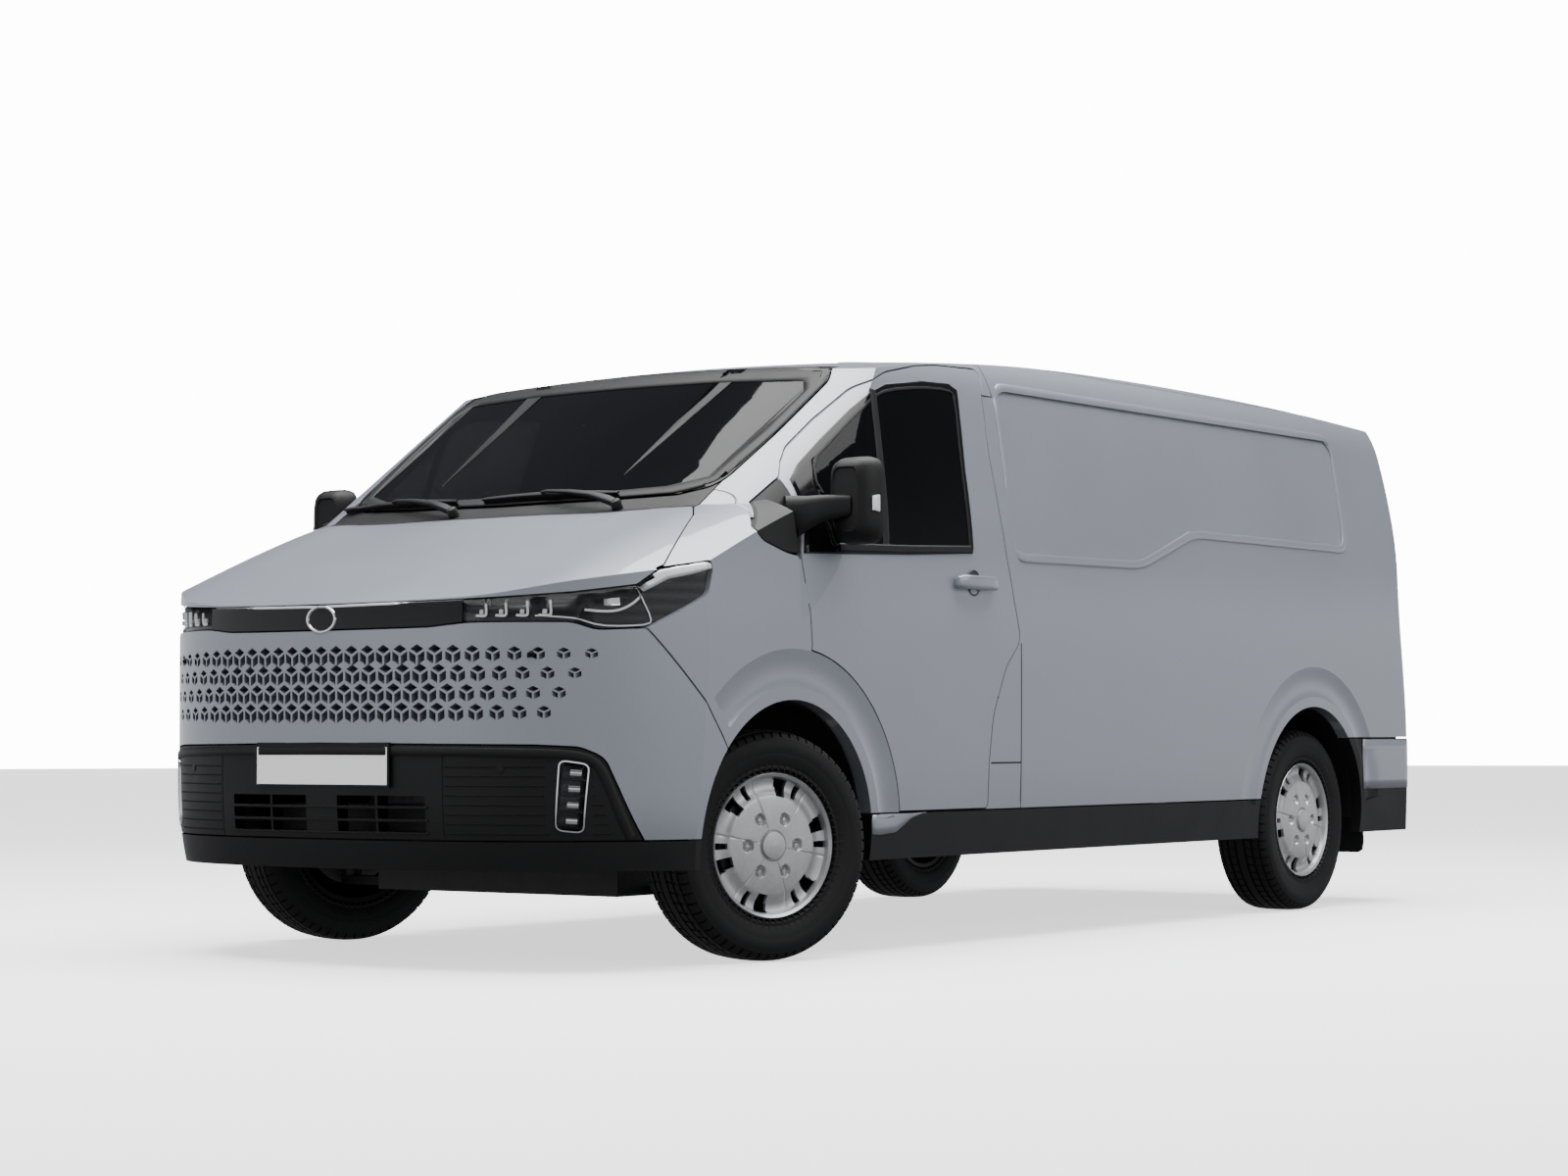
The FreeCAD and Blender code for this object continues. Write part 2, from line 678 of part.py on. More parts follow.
# A rhombus that is one face of a drawn cube, as shares of the pitch, and its fading.
FACE_SHARE = 0.76
RHOMBUS_CORNERS = [(FACE_SHARE * across / math.sqrt(3), (1 + FACE_SHARE * up) / math.sqrt(3) / 2)
                   for across, up in ((0, -1), (math.cos(math.pi / 6), 0), (0, 1),
                                      (-math.cos(math.pi / 6), 0))]
FADE_SHARE = 0.5
PERFORATION_ROWS = 4
SLOT_ROWS = 3


def tail_lamp_region(grow):
    return side_prism(side_points(tail_lamp_shares), d.tail_lamp_y - grow, None, grow).fuse(
        side_prism(side_points(tail_lamp_shares), None, -d.tail_lamp_y + grow, grow))


def side_region(grow):
    return side_prism(side_points(side_shares), None, None, grow)


def slide_door_region(grow):
    return side_prism(side_points(slide_door_shares), -reach, -d.roof_edge + d.overrun, grow)


def roof_region(grow):
    edge = d.roof_edge + grow
    return box(rear_x - d.overrun, front_axle - d.front_overhang / 2 - d.header_depth + grow,
               -edge, edge, d.roof_low, d.body_height + d.overrun)


def take(stock, region):
    """Splits stock into the piece inside a region and the rest, with a gap."""
    piece = stock.common(region(-d.panel_gap / 2))
    rest = stock.cut(region(d.panel_gap / 2))
    return piece, rest


def keep(shape, x0, x1, y0=None, y1=None):
    """The part of a shape between two stations."""
    y0 = -reach if y0 is None else y0
    y1 = reach if y1 is None else y1
    return shape.common(box(x0, x1, y0, y1, -d.overrun, d.body_height + d.overrun))


arches = [cross_cylinder(d.arch_radius, front_axle + d.arch_shift, axle_z, -reach, reach),
          cross_cylinder(d.arch_radius, rear_axle, axle_z, -reach, reach)]
for arch in arches:
    shell = shell.cut(arch)


def flare_groove(centre_x, first, last):
    """Shallow hollow round a wheel arch, which leaves the arch's lip standing."""
    side = spline(section_points(0))
    low = d.arch_radius + d.lip_band
    span = d.flare_radius - low
    rows = []
    for share, depth_share in FLARE_PROFILE:
        radius = low + share * span
        row = []
        for step in range(FLARE_STEPS + 1):
            turn = math.radians(first + (last - first) * step / FLARE_STEPS)
            x = centre_x + radius * math.cos(turn)
            z = axle_z + radius * math.sin(turn)
            level = Part.Plane(FreeCAD.Vector(0, 0, z), FreeCAD.Vector(0, 0, 1))
            y = side.intersect(level)[0][0].Y
            row.append(FreeCAD.Vector(x, y - depth_share * d.flare_depth, z))
        rows.append(row)
    hollow = Part.BSplineSurface()
    hollow.interpolate(rows)
    return hollow.toShape().extrude(FreeCAD.Vector(0, d.overrun, 0))


# Across the hollow: (share of its width, share of its depth).
FLARE_PROFILE = ((-0.04, -0.3), (0.2, 0.9), (0.45, 1.0), (0.75, 0.5), (1.06, -0.2))
FLARE_STEPS = 14
grooves = [flare_groove(front_axle + d.arch_shift, d.flare_front_start, d.flare_end),
           flare_groove(rear_axle, d.flare_rear_start, d.flare_end)]
recess = pane.common(side_prism(side_points(recess_shares)))
for groove in grooves:
    shell = shell.cut(groove).cut(mirrored(groove))
shell = shell.cut(recess)

parts = {}
pocket = pane.common(screen_region(d.panel_gap / 2))
parts["windscreen"] = pocket.common(screen_region(-d.panel_gap))
rest = shell.cut(screen_region(-d.flange)).cut(pocket)
doors_outer, rest_left = take(rest, door_region)
rest = rest.cut(door_region(d.panel_gap / 2)).cut(mirrored(door_region(d.panel_gap / 2)))
door = shell.cut(screen_region(0)).common(door_region(-d.panel_gap / 2))
parts["door_left"] = door.cut(pane_region(d.seat_gap))
parts["door_glass_left"] = pane.common(pane_region(0))
parts["bonnet"], rest = take(rest, bonnet_region)
band, rest = take(rest, band_region)
parts["light_bar"] = keep(band, 0, front_x, -d.lamp_split, d.lamp_split)
lamp_middle = box(0, front_x, -d.lamp_split - d.panel_gap, d.lamp_split + d.panel_gap, 0, reach)
head_lamps = keep(band, 0, front_x).cut(lamp_middle)
lip, rest = take(rest, lip_region)
bumper, rest = take(rest, bumper_region)
fog_lamps, bumper = take(bumper, fog_region)
parts["front_lamps"] = Part.makeCompound(head_lamps.Solids + fog_lamps.Solids)
holder = box(front_x - d.wall, front_x - d.plate_thickness - d.seat_gap, -d.plate_width / 2,
             d.plate_width / 2, d.plate_low, d.plate_low + d.plate_height)
parts["number_plate"] = box(front_x - d.plate_thickness, front_x, -d.plate_width / 2,
                            d.plate_width / 2, d.plate_low, d.plate_low + d.plate_height)
slots = []
for row in range(SLOT_ROWS):
    top = d.slot_top - row * d.slot_rise
    middle = d.slot_bar / 2 if top - d.slot_height > d.slot_block_top else d.slot_block_half
    for y0, y1 in ((middle, d.slot_split), (d.slot_split + d.slot_bar, d.slot_half)):
        slot = box(front_axle + d.arch_radius, front_x + d.overrun, y0, y1,
                   top - d.slot_height, top)
        slots += [slot, mirrored(slot)]
plate_bay = box(front_x - d.plate_thickness - d.seat_gap, front_x + d.overrun,
                -d.plate_width / 2 - d.seat_gap, d.plate_width / 2 + d.seat_gap,
                d.plate_low - d.seat_gap, d.plate_low + d.plate_height + d.seat_gap)
parts["bumper_front"] = bumper.cut(slots).fuse(holder).cut(plate_bay)
panel, rest = take(rest, nose_panel_region)
parts["front_panel"] = panel.cut(perforations())
parts["lower_trims"] = lip
trim = rest.common(window_region(-d.panel_gap / 2))
rest = rest.cut(window_region(d.panel_gap / 2)).cut(mirrored(window_region(d.panel_gap / 2)))
parts["corner_trims"] = both(trim)
sills, rest = take(rest, sill_region)
parts["lower_trims"] = Part.makeCompound(parts["lower_trims"].Solids + sills.Solids)
parts["cowl"], rest = take(rest, cowl_region)
parts["fenders"], rest = take(rest, fender_region)
rear_doors, rest = take(rest, rear_door_region)
half_gap = d.rear_door_gap / 2
parts["rear_door_left"] = keep(rear_doors, rear_x - d.overrun, 0, half_gap, reach)
parts["rear_door_right"] = mirrored(parts["rear_door_left"])
parts["rear_bumper"], rest = take(rest, rear_bumper_region)
parts["tail_lamps"], rest = take(rest, tail_lamp_region)
parts["roof"], rest = take(rest, roof_region)
sides, cab = take(rest, side_region)
parts["cab_frame"] = max(cab.Solids, key=lambda solid: solid.Volume)


def hinge_leaves(region, bounds):
    """Hinge leaves: pieces of the gap round a region, within some bounds."""
    gap = shell.common(region(d.panel_gap / 2)).cut(region(d.seat_gap - d.panel_gap / 2))
    return [gap.common(bound_box) for bound_box in bounds]
parts["body_side_left"] = keep(sides, rear_x - d.overrun, front_x, 0, reach)
parts["body_side_right"] = mirrored(parts["body_side_left"])


# Sub-parts of the document: each has its own label, and a place.
made = {}
FRONT_AXLE = "(sizes.overall_length / 2 - sizes.front_overhang)"


def feature(name, shape):
    """Sub-part whose shape comes from the body's curved skin."""
    item = doc.addObject("Part::Feature", name)
    item.Shape = shape
    item.Placement = FreeCAD.Placement()
    made[name] = item
    return item


def bound(kind, name, sizes):
    """Primitive whose sizes and place are bound to the sheet."""
    item = doc.addObject(kind, name)
    for prop, expression in sizes.items():
        item.setExpression(prop, expression)
    return item


def block(name, length, width, height, x, y, z):
    """Bound box; x, y and z give its low corner."""
    return bound("Part::Box", name, {
        "Length": length, "Width": width, "Height": height,
        "Placement.Base.x": x, "Placement.Base.y": y, "Placement.Base.z": z})


def plane_of(host, role):
    """One of a body's own origin planes."""
    return [item for item in host.Origin.OriginFeatures if item.Role == role][0]


def bound_sketch(host, name, role, corners):
    """Closed sketch whose corners are bound to pairs of expressions."""
    sketch = host.newObject("Sketcher::SketchObject", name)
    sketch.AttachmentSupport = (plane_of(host, role), [""])
    sketch.MapMode = "FlatFace"
    spots = [(sheet.evalExpression(u), sheet.evalExpression(v)) for u, v in corners]
    count = len(spots)
    for index in range(count):
        start = FreeCAD.Vector(*spots[index], 0)
        stop = FreeCAD.Vector(*spots[(index + 1) % count], 0)
        sketch.addGeometry(Part.LineSegment(start, stop), False)
    for index in range(count):
        sketch.addConstraint(Sketcher.Constraint("Coincident", index, 2, (index + 1) % count, 1))
    for index, pair in enumerate(corners):
        for kind, expression, value, axis in zip(
                ("DistanceX", "DistanceY"), pair, spots[index], (-2, -1)):
            if expression == "0":
                sketch.addConstraint(Sketcher.Constraint("PointOnObject", index, 1, axis))
                continue
            number = sketch.addConstraint(Sketcher.Constraint(kind, -1, 1, index, 1, value))
            sketch.setExpression("Constraints[%d]" % number, expression)
    return sketch


def revolved_body(name, corners):
    """Turned body about its own Z axis; corners are (radius, height) pairs."""
    host = doc.addObject("PartDesign::Body", name)
    sketch = bound_sketch(host, name + "_profile", "XZ_Plane", corners)
    turned = host.newObject("PartDesign::Revolution", name + "_turned")
    turned.Profile = sketch
    turned.ReferenceAxis = (sketch, ["V_Axis"])
    turned.Angle = 360
    doc.recompute()
    made[name] = host
    return host


def wheel_place(side, front):
    """Centre of a wheel and its outward direction, steered as parked."""
    x = front_axle if front else rear_axle
    y = side * d.track / 2
    outward = FreeCAD.Vector(0, side, 0)
    if not front:
        return FreeCAD.Vector(x, y, axle_z), outward
    kingpin = FreeCAD.Vector(x, side * (d.track / 2 - d.kingpin_offset), axle_z)
    steer = FreeCAD.Rotation(FreeCAD.Vector(0, 0, 1), -d.steer_angle)
    outward = steer.multVec(outward)
    return kingpin + outward * d.kingpin_offset, outward


WHEELS = (("front_left", 1, True), ("front_right", -1, True),
          ("rear_left", 1, False), ("rear_right", -1, False))
TYRE_CORNERS = (
    ("sizes.bead_radius", "sizes.bead_inset"),
    ("sizes.rim_flange_radius + sizes.seat_gap", "sizes.bead_inset"),
    ("sizes.bulge_radius - sizes.bulge_half", "0"),
    ("sizes.bulge_radius + sizes.bulge_half", "0"),
    ("sizes.shoulder_radius", "sizes.shoulder_inset"),
    ("sizes.tyre_radius", "sizes.tread_inset"),
    ("sizes.tyre_radius", "sizes.tyre_width - sizes.tread_inset"),
    ("sizes.shoulder_radius", "sizes.tyre_width - sizes.shoulder_inset"),
    ("sizes.bulge_radius + sizes.bulge_half", "sizes.tyre_width"),
    ("sizes.bulge_radius - sizes.bulge_half", "sizes.tyre_width"),
    ("sizes.rim_flange_radius + sizes.seat_gap", "sizes.tyre_width - sizes.bead_inset"),
    ("sizes.bead_radius", "sizes.tyre_width - sizes.bead_inset"))
RIM_CORNERS = (
    ("sizes.hub_bore", "sizes.rim_width - sizes.disc_inset"),
    ("sizes.hub_bore", "sizes.rim_width - sizes.disc_inset + sizes.disc_thickness"),
    ("sizes.disc_edge", "sizes.rim_width - sizes.disc_thickness"),
    ("sizes.disc_edge", "sizes.rim_width"),
    ("sizes.rim_flange_radius", "sizes.rim_width"),
    ("sizes.rim_flange_radius", "sizes.rim_width - sizes.rim_flange"),
    ("sizes.bead_radius - sizes.seat_gap", "sizes.rim_width - sizes.rim_flange"),
    ("sizes.bead_radius - sizes.seat_gap", "sizes.rim_flange"),
    ("sizes.rim_flange_radius", "sizes.rim_flange"),
    ("sizes.rim_flange_radius", "0"),
    ("sizes.barrel_radius", "0"),
    ("sizes.barrel_radius", "sizes.rim_width - 2 * sizes.disc_thickness"),
    ("sizes.disc_edge - 2 * sizes.disc_thickness",
     "sizes.rim_width - 2 * sizes.disc_thickness"))


def sector(inner, outer, half_angle, turn):
    """Bar along the wheel's axis with the outline of a piece of a ring."""
    corners = []
    for radius, angle in ((inner, -half_angle), (outer, -half_angle), (outer, half_angle),
                          (inner, half_angle)):
        around = math.radians(angle + turn)
        corners.append(FreeCAD.Vector(radius * math.cos(around), radius * math.sin(around), 0))
    edge = Part.makePolygon(corners + corners[:1])
    return Part.Face(edge).extrude(FreeCAD.Vector(0, 0, d.rim_width))


LUGS = 6
turned_rim = revolved_body("rim_profile", RIM_CORNERS)
del made["rim_profile"]
holes = []
for index in range(LUGS):
    turn = 360 * index / LUGS
    holes.append(sector(d.window_low, d.window_high, d.window_angle, turn))
    holes.append(sector(d.slit_low, d.window_high, d.slit_angle, turn + d.slit_turn))
    around = math.radians(turn)
    spot = FreeCAD.Vector(math.cos(around), math.sin(around), 0) * d.lug_circle
    holes.append(Part.makeCylinder(d.lug_pocket, d.disc_inset, spot
                                   + FreeCAD.Vector(0, 0, d.rim_width - d.disc_inset
                                                    + 2 * d.disc_thickness)))
cover = turned_rim.Shape.cut(holes)
for name, side, front in WHEELS:
    centre, outward = wheel_place(side, front)
    turn = FreeCAD.Rotation(FreeCAD.Vector(0, 0, 1), outward)
    tyre = revolved_body("tyre_" + name, TYRE_CORNERS)
    tyre.Placement = FreeCAD.Placement(centre - outward * (d.tyre_width / 2), turn)
    rim = feature("wheel_" + name, cover)
    rim.Placement = FreeCAD.Placement(centre - outward * (d.rim_width / 2), turn)

block_battery = block(
    "battery_pack", "sizes.battery_length", "2 * (sizes.rail_y - sizes.seat_gap)",
    "sizes.battery_height",
    FRONT_AXLE + " - sizes.battery_front - sizes.battery_length",
    "sizes.seat_gap - sizes.rail_y", "sizes.battery_bottom")
made["battery_pack"] = block_battery
made["drive_unit"] = block(
    "drive_unit", "sizes.drive_length", "sizes.drive_width", "sizes.drive_height",
    FRONT_AXLE + " - sizes.drive_back", "-sizes.drive_width / 2",
    "sizes.drive_bottom")
doc.recompute()


# Inside the body: floor, frame, bulkhead, dashboard and seats.
room = body_solid(d.wall + d.seat_gap)
cab_back = front_axle - d.bulkhead_x
toe_x = front_axle - d.toe_board_x
foot_x = front_axle - d.footwell_x
thick = d.floor_thickness
cab_low = d.cab_floor_top - thick
half_floor = d.cab_floor_half
half_foot = d.footwell_half
floor_pieces = [
    box(rear_x, cab_back, -reach, reach, d.floor_top - thick, d.floor_top),
    box(cab_back - thick, cab_back, -half_floor, half_floor, cab_low, d.floor_top),
    box(cab_back - thick, toe_x, -half_floor, half_floor, cab_low, d.cab_floor_top),
    box(toe_x - thick, toe_x, -half_floor, half_floor, cab_low, d.shelf_top),
    box(toe_x - thick, foot_x, -half_foot, half_foot, cab_low, d.shelf_top),
    box(toe_x - thick, front_axle + d.shelf_reach, -half_floor, half_floor,
        d.shelf_top - thick, d.shelf_top)]
footwell = box(toe_x - 2 * thick, foot_x - thick, thick - half_foot, half_foot - thick,
               d.cab_floor_top, d.shelf_top + thick)
floor = floor_pieces[0].fuse(floor_pieces[1:]).cut(footwell).common(room)
liner_outer = d.liner_radius + d.liner_thickness


def liner(x, inner_y, outer_y):
    """Wheel arch liner: half a drum with a wall at its inner end."""
    outer = cross_cylinder(liner_outer, x, axle_z, inner_y, outer_y)
    inner = cross_cylinder(d.liner_radius, x, axle_z, inner_y + d.liner_thickness, reach)
    shape = outer.cut(inner)
    return shape.cut(box(x - reach, x + reach, -reach, reach, 0, axle_z))


front_liner_x = front_axle + d.arch_shift
front_liner = liner(front_liner_x, d.liner_inner_y, half_width)
rear_liner = liner(rear_axle, d.rear_box_inner_y, half_width)
front_liner = front_liner.common(room)
rear_liner = rear_liner.common(room).cut(
    cross_cylinder(d.axle_notch, rear_axle, axle_z, 0, d.rear_box_inner_y + d.rail_width))
for x, inner_y in ((front_liner_x, d.liner_inner_y), (rear_axle, d.rear_box_inner_y)):
    drum = cross_cylinder(liner_outer + d.seat_gap, x, axle_z, inner_y - d.seat_gap, reach)
    floor = floor.cut(drum).cut(mirrored(drum))
feature("floor_pan", floor)
feature("wheel_arches", Part.makeCompound([front_liner, mirrored(front_liner), rear_liner,
                                           mirrored(rear_liner)]))
bulk = box(cab_back - d.bulkhead_thickness, cab_back, -reach, reach,
           d.floor_top + d.seat_gap, d.body_height + d.overrun).common(room)
dash = side_prism(side_points(dash_shares)).common(room)
dash = dash.common(box(0, front_x, -d.dash_half_width, d.dash_half_width, 0, reach))
feature("dashboard", dash)

# Underframe rails, cross members and the suspension pieces they carry.
rail_top = d.floor_top - d.floor_thickness - d.seat_gap
rail_bottom = rail_top - d.rail_height
rail_end = cab_back - d.floor_thickness - d.seat_gap
rail = box(rear_x + d.rail_inset, rail_end, d.rail_y, d.rail_y + d.rail_width, rail_bottom, rail_top)
front_rail = box(cab_back - d.rail_width, front_x, d.front_rail_y,
                 d.front_rail_y + d.rail_width, d.front_rail_z,
                 d.cab_floor_top - d.floor_thickness - d.seat_gap)
for offset in (0, d.towbar_pitch):
    rail = rail.cut(cross_cylinder(d.towbar_hole, rear_x + d.towbar_front - offset, d.towbar_z,
                                   0, reach))
frame = rail.fuse(mirrored(rail)).fuse(front_rail).fuse(mirrored(front_rail))
frame = frame.fuse(box(cab_back - d.rail_width, cab_back, -d.rail_y - d.rail_width,
                       d.rail_y + d.rail_width, d.front_rail_z, cab_low - d.seat_gap))
frame = frame.fuse(box(front_x - d.beam_inset - d.rail_width, front_x - d.beam_inset,
                       -d.beam_half_width, d.beam_half_width, d.front_rail_z, d.cab_floor_top))
bars = [box(d.carrier_back, front_x, -d.carrier_half, d.carrier_half, z, z + d.carrier_bar)
        for z in (d.bumper_beam_z, d.panel_beam_z, d.lamp_beam_z)]
bars += [box(d.carrier_back, front_x, y, y + d.rail_width, d.front_rail_z,
             d.lamp_beam_z + d.carrier_bar) for y in (d.front_rail_y, -d.front_rail_y - d.rail_width)]
inner_room = room.copy()
inner_room.translate(FreeCAD.Vector(-d.carrier_depth, 0, 0))
carrier = bars[0].fuse(bars[1:]).common(room).cut(inner_room)
feature("underframe", frame.common(room).fuse(carrier))
hub_reach = d.rim_width / 2 - d.disc_inset - d.seat_gap
hub_end = d.track / 2 + hub_reach
tube = cross_cylinder(d.axle_tube_radius, rear_axle, axle_z, -d.track / 2 + d.hub_stand,
                      d.track / 2 - d.hub_stand)
stub = cross_cylinder(d.hub_radius, rear_axle, axle_z, hub_end - d.hub_stub, hub_end)
tube = tube.fuse([stub, mirrored(stub)])


def spring_curve(offset):
    """Arc of the leaf spring, from its front eye over the axle to the back eye."""
    top = axle_z + d.axle_tube_radius + d.seat_gap + offset
    eye = rail_bottom - d.spring_drop + offset
    half = d.spring_length / 2
    return Part.Arc(FreeCAD.Vector(rear_axle + half, 0, eye), FreeCAD.Vector(rear_axle, 0, top),
                    FreeCAD.Vector(rear_axle - half, 0, eye)).toShape()


lower = spring_curve(0)
upper = spring_curve(d.spring_thickness)
ends = [Part.makeLine(lower.Vertexes[0].Point, upper.Vertexes[0].Point),
        Part.makeLine(lower.Vertexes[-1].Point, upper.Vertexes[-1].Point)]
leaf = Part.Face(Part.Wire([lower, ends[1], upper, ends[0]])).extrude(
    FreeCAD.Vector(0, d.spring_width, 0))
leaf.translate(FreeCAD.Vector(0, d.rail_y, 0))
hangers = []
for end in (1, -1):
    x = rear_axle + end * (d.spring_length / 2 - d.spring_width)
    hangers.append(box(x - d.spring_width / 2, x + d.spring_width / 2, d.rail_y,
                       d.rail_y + d.spring_width,
                       rail_bottom - d.spring_drop, rail_bottom - d.seat_gap))
leaf = leaf.fuse(hangers)
feature("rear_axle", Part.makeCompound([tube, leaf, mirrored(leaf)]))

# Front suspension: cross member, lower arms and struts, fixed as parked.
kingpin_y = d.track / 2 - d.kingpin_offset
arm = box(front_axle - d.arm_width / 2, front_axle + d.arm_width / 2, d.front_rail_y,
          kingpin_y, d.arm_z, d.arm_z + d.arm_thickness)
arm = arm.fuse(Part.makeCylinder(d.arm_width / 2, d.arm_thickness,
                                 FreeCAD.Vector(front_axle, kingpin_y, d.arm_z)))
strut = Part.makeCylinder(d.strut_radius, d.strut_top - d.strut_bottom,
                          FreeCAD.Vector(front_axle, d.strut_y, d.strut_bottom))
spring = Part.makeCylinder(d.coil_radius, d.strut_top - d.coil_bottom,
                           FreeCAD.Vector(front_axle, d.strut_y, d.coil_bottom))
strut = strut.fuse(spring)
member = box(front_axle - d.member_length / 2, front_axle + d.member_length / 2,
             -d.front_rail_y - d.rail_width, d.front_rail_y + d.rail_width, d.arm_z,
             d.drive_bottom - d.seat_gap)
posts = []
for x in (front_axle - d.member_length / 2, front_axle + d.member_length / 2 - d.rail_width):
    posts.append(box(x, x + d.rail_width, d.front_rail_y, d.front_rail_y + d.rail_width,
                     d.arm_z, d.front_rail_z - d.seat_gap))
suspension = member.fuse(posts + [mirrored(post) for post in posts])
suspension = suspension.fuse([arm, mirrored(arm)])
feature("front_subframe", Part.makeCompound([suspension, strut, mirrored(strut)]))

# Knuckles turn about the kingpins and carry the front wheels.
for name, side in (("left", 1), ("right", -1)):
    centre, outward = wheel_place(side, True)
    kingpin = FreeCAD.Vector(front_axle, side * kingpin_y, 0)
    post = Part.makeCylinder(d.knuckle_radius, d.knuckle_top - d.arm_z - d.arm_thickness - d.seat_gap,
                             kingpin + FreeCAD.Vector(0, 0, d.arm_z + d.arm_thickness + d.seat_gap))
    hub = Part.makeCylinder(d.hub_radius, d.kingpin_offset + hub_reach,
                            centre - outward * d.kingpin_offset, outward)
    feature("knuckle_" + name, post.fuse(hub))

# Seats: a driver's seat and a two-place bench, on plain pedestals.
seat_x = front_axle - d.seat_front_x
seat_specs = ((d.seat_y, d.seat_width), (-d.bench_y, d.bench_width))
seats = []
for y, width in seat_specs:
    base = box(seat_x - d.seat_depth, seat_x - d.seat_cushion, y - width / 2 + d.seat_inset,
               y + width / 2 - d.seat_inset, d.cab_floor_top + d.seat_gap, d.cab_floor_top + d.seat_height - d.seat_cushion)
    cushion = box(seat_x - d.seat_depth, seat_x, y - width / 2, y + width / 2,
                  d.cab_floor_top + d.seat_height - d.seat_cushion,
                  d.cab_floor_top + d.seat_height)
    back = box(seat_x - d.seat_depth - d.seat_back_thickness, seat_x - d.seat_depth,
               y - width / 2, y + width / 2, d.cab_floor_top + d.seat_height - d.seat_cushion,
               d.cab_floor_top + d.seat_height + d.seat_back_height)
    seats.append(base.fuse([cushion, back]))
feature("seats", Part.makeCompound(seats))

RIM_SIDES = 8
wheel_centre = FreeCAD.Vector(front_axle - d.steering_wheel_x, d.seat_y, d.steering_wheel_z)
column = FreeCAD.Vector(math.cos(math.radians(d.column_angle)), 0,
                        -math.sin(math.radians(d.column_angle)))
rim_corners = []
for index in range(RIM_SIDES):
    angle = 2 * math.pi * index / RIM_SIDES
    rim_corners.append(FreeCAD.Vector(
        d.steering_wheel_radius + d.steering_rim_radius * math.cos(angle), 0,
        d.steering_rim_radius * math.sin(angle)))
rim = Part.Face(Part.makePolygon(rim_corners + rim_corners[:1])).revolve(
    FreeCAD.Vector(), FreeCAD.Vector(0, 0, 1), 360)
rim.Placement = FreeCAD.Placement(
    wheel_centre, FreeCAD.Rotation(FreeCAD.Vector(0, 0, 1), column))
boss = Part.makeCylinder(d.boss_radius, d.boss_depth, wheel_centre, column)
turn = FreeCAD.Rotation(FreeCAD.Vector(0, 0, 1), column)
spokes = []
for angle in (90, 210, 330):
    ray = turn.multVec(FreeCAD.Vector(math.cos(math.radians(angle)), math.sin(math.radians(angle)), 0))
    spokes.append(Part.makeCylinder(d.spoke_radius, d.steering_wheel_radius, wheel_centre, ray))
shaft = Part.makeCylinder(d.shaft_radius, d.shaft_length, wheel_centre, column)
feature("steering_wheel", rim.fuse(boss).fuse(shaft).fuse(spokes).cut(dash))

# Door mirrors on the doors' front corners.
mirror_x = front_axle - d.mirror_back
head = box(mirror_x - d.mirror_depth / 2, mirror_x + d.mirror_depth / 2, d.mirror_inner_y,
           d.mirror_inner_y + d.mirror_width, d.mirror_low, d.mirror_low + d.mirror_height)
head = head.makeFillet(d.mirror_rounding, head.Edges)
arm = box(mirror_x - d.mirror_arm / 2, mirror_x + d.mirror_arm / 2, d.roof_edge,
          d.mirror_inner_y + d.mirror_arm, d.mirror_arm_z, d.mirror_arm_z + d.mirror_arm)
door_mirror = head.fuse(arm).cut(body)
parts["door_mirror_left"] = door_mirror
parts["door_mirror_right"] = mirrored(door_mirror)
parts["door_right"] = mirrored(parts["door_left"])
parts["door_glass_right"] = mirrored(parts["door_glass_left"])

# Wipers lie on the foot of the windscreen, on spindles that stand on the cowl.
def rod(points, radius):
    """Round bar through several points."""
    pieces = [Part.makeSphere(radius, point) for point in points[1:-1]]
    for start, stop in zip(points, points[1:]):
        pieces.append(Part.makeCylinder(radius, (stop - start).Length, start, stop - start))
    return pieces[0].fuse(pieces[1:])


def on_screen(y, z, lift):
    """Point off the windscreen's slope, over the outside straight ahead of (y, z)."""
    ray = Part.makeLine(FreeCAD.Vector(0, y, z), FreeCAD.Vector(front_x, y, z))
    rake = math.radians(d.screen_rake)
    return FreeCAD.Vector(ray.common(body).BoundBox.XMax + lift * math.sin(rake), y,
                          z + lift * math.cos(rake))


BLADE_STEPS = 4
wipers = []
for low_y, high_y in ((d.wiper_1_low, d.wiper_1_high), (d.wiper_2_low, d.wiper_2_high)):
    step = (high_y - low_y) / BLADE_STEPS
    blade = [on_screen(low_y + step * index, d.wiper_z, d.wiper_lift)
             for index in range(BLADE_STEPS + 1)]
    foot = [on_screen(high_y, d.wiper_foot_z, lift) for lift in (-d.wiper_lift, d.wiper_lift)]
    crank = on_screen(low_y + 3 * step, d.wiper_z, 2 * d.wiper_lift)
    arm = rod(foot + [crank, blade[2]], d.wiper_radius)
    wipers.append(rod(blade, d.wiper_radius).fuse(arm).cut(body))
parts["wipers"] = Part.makeCompound(wipers)

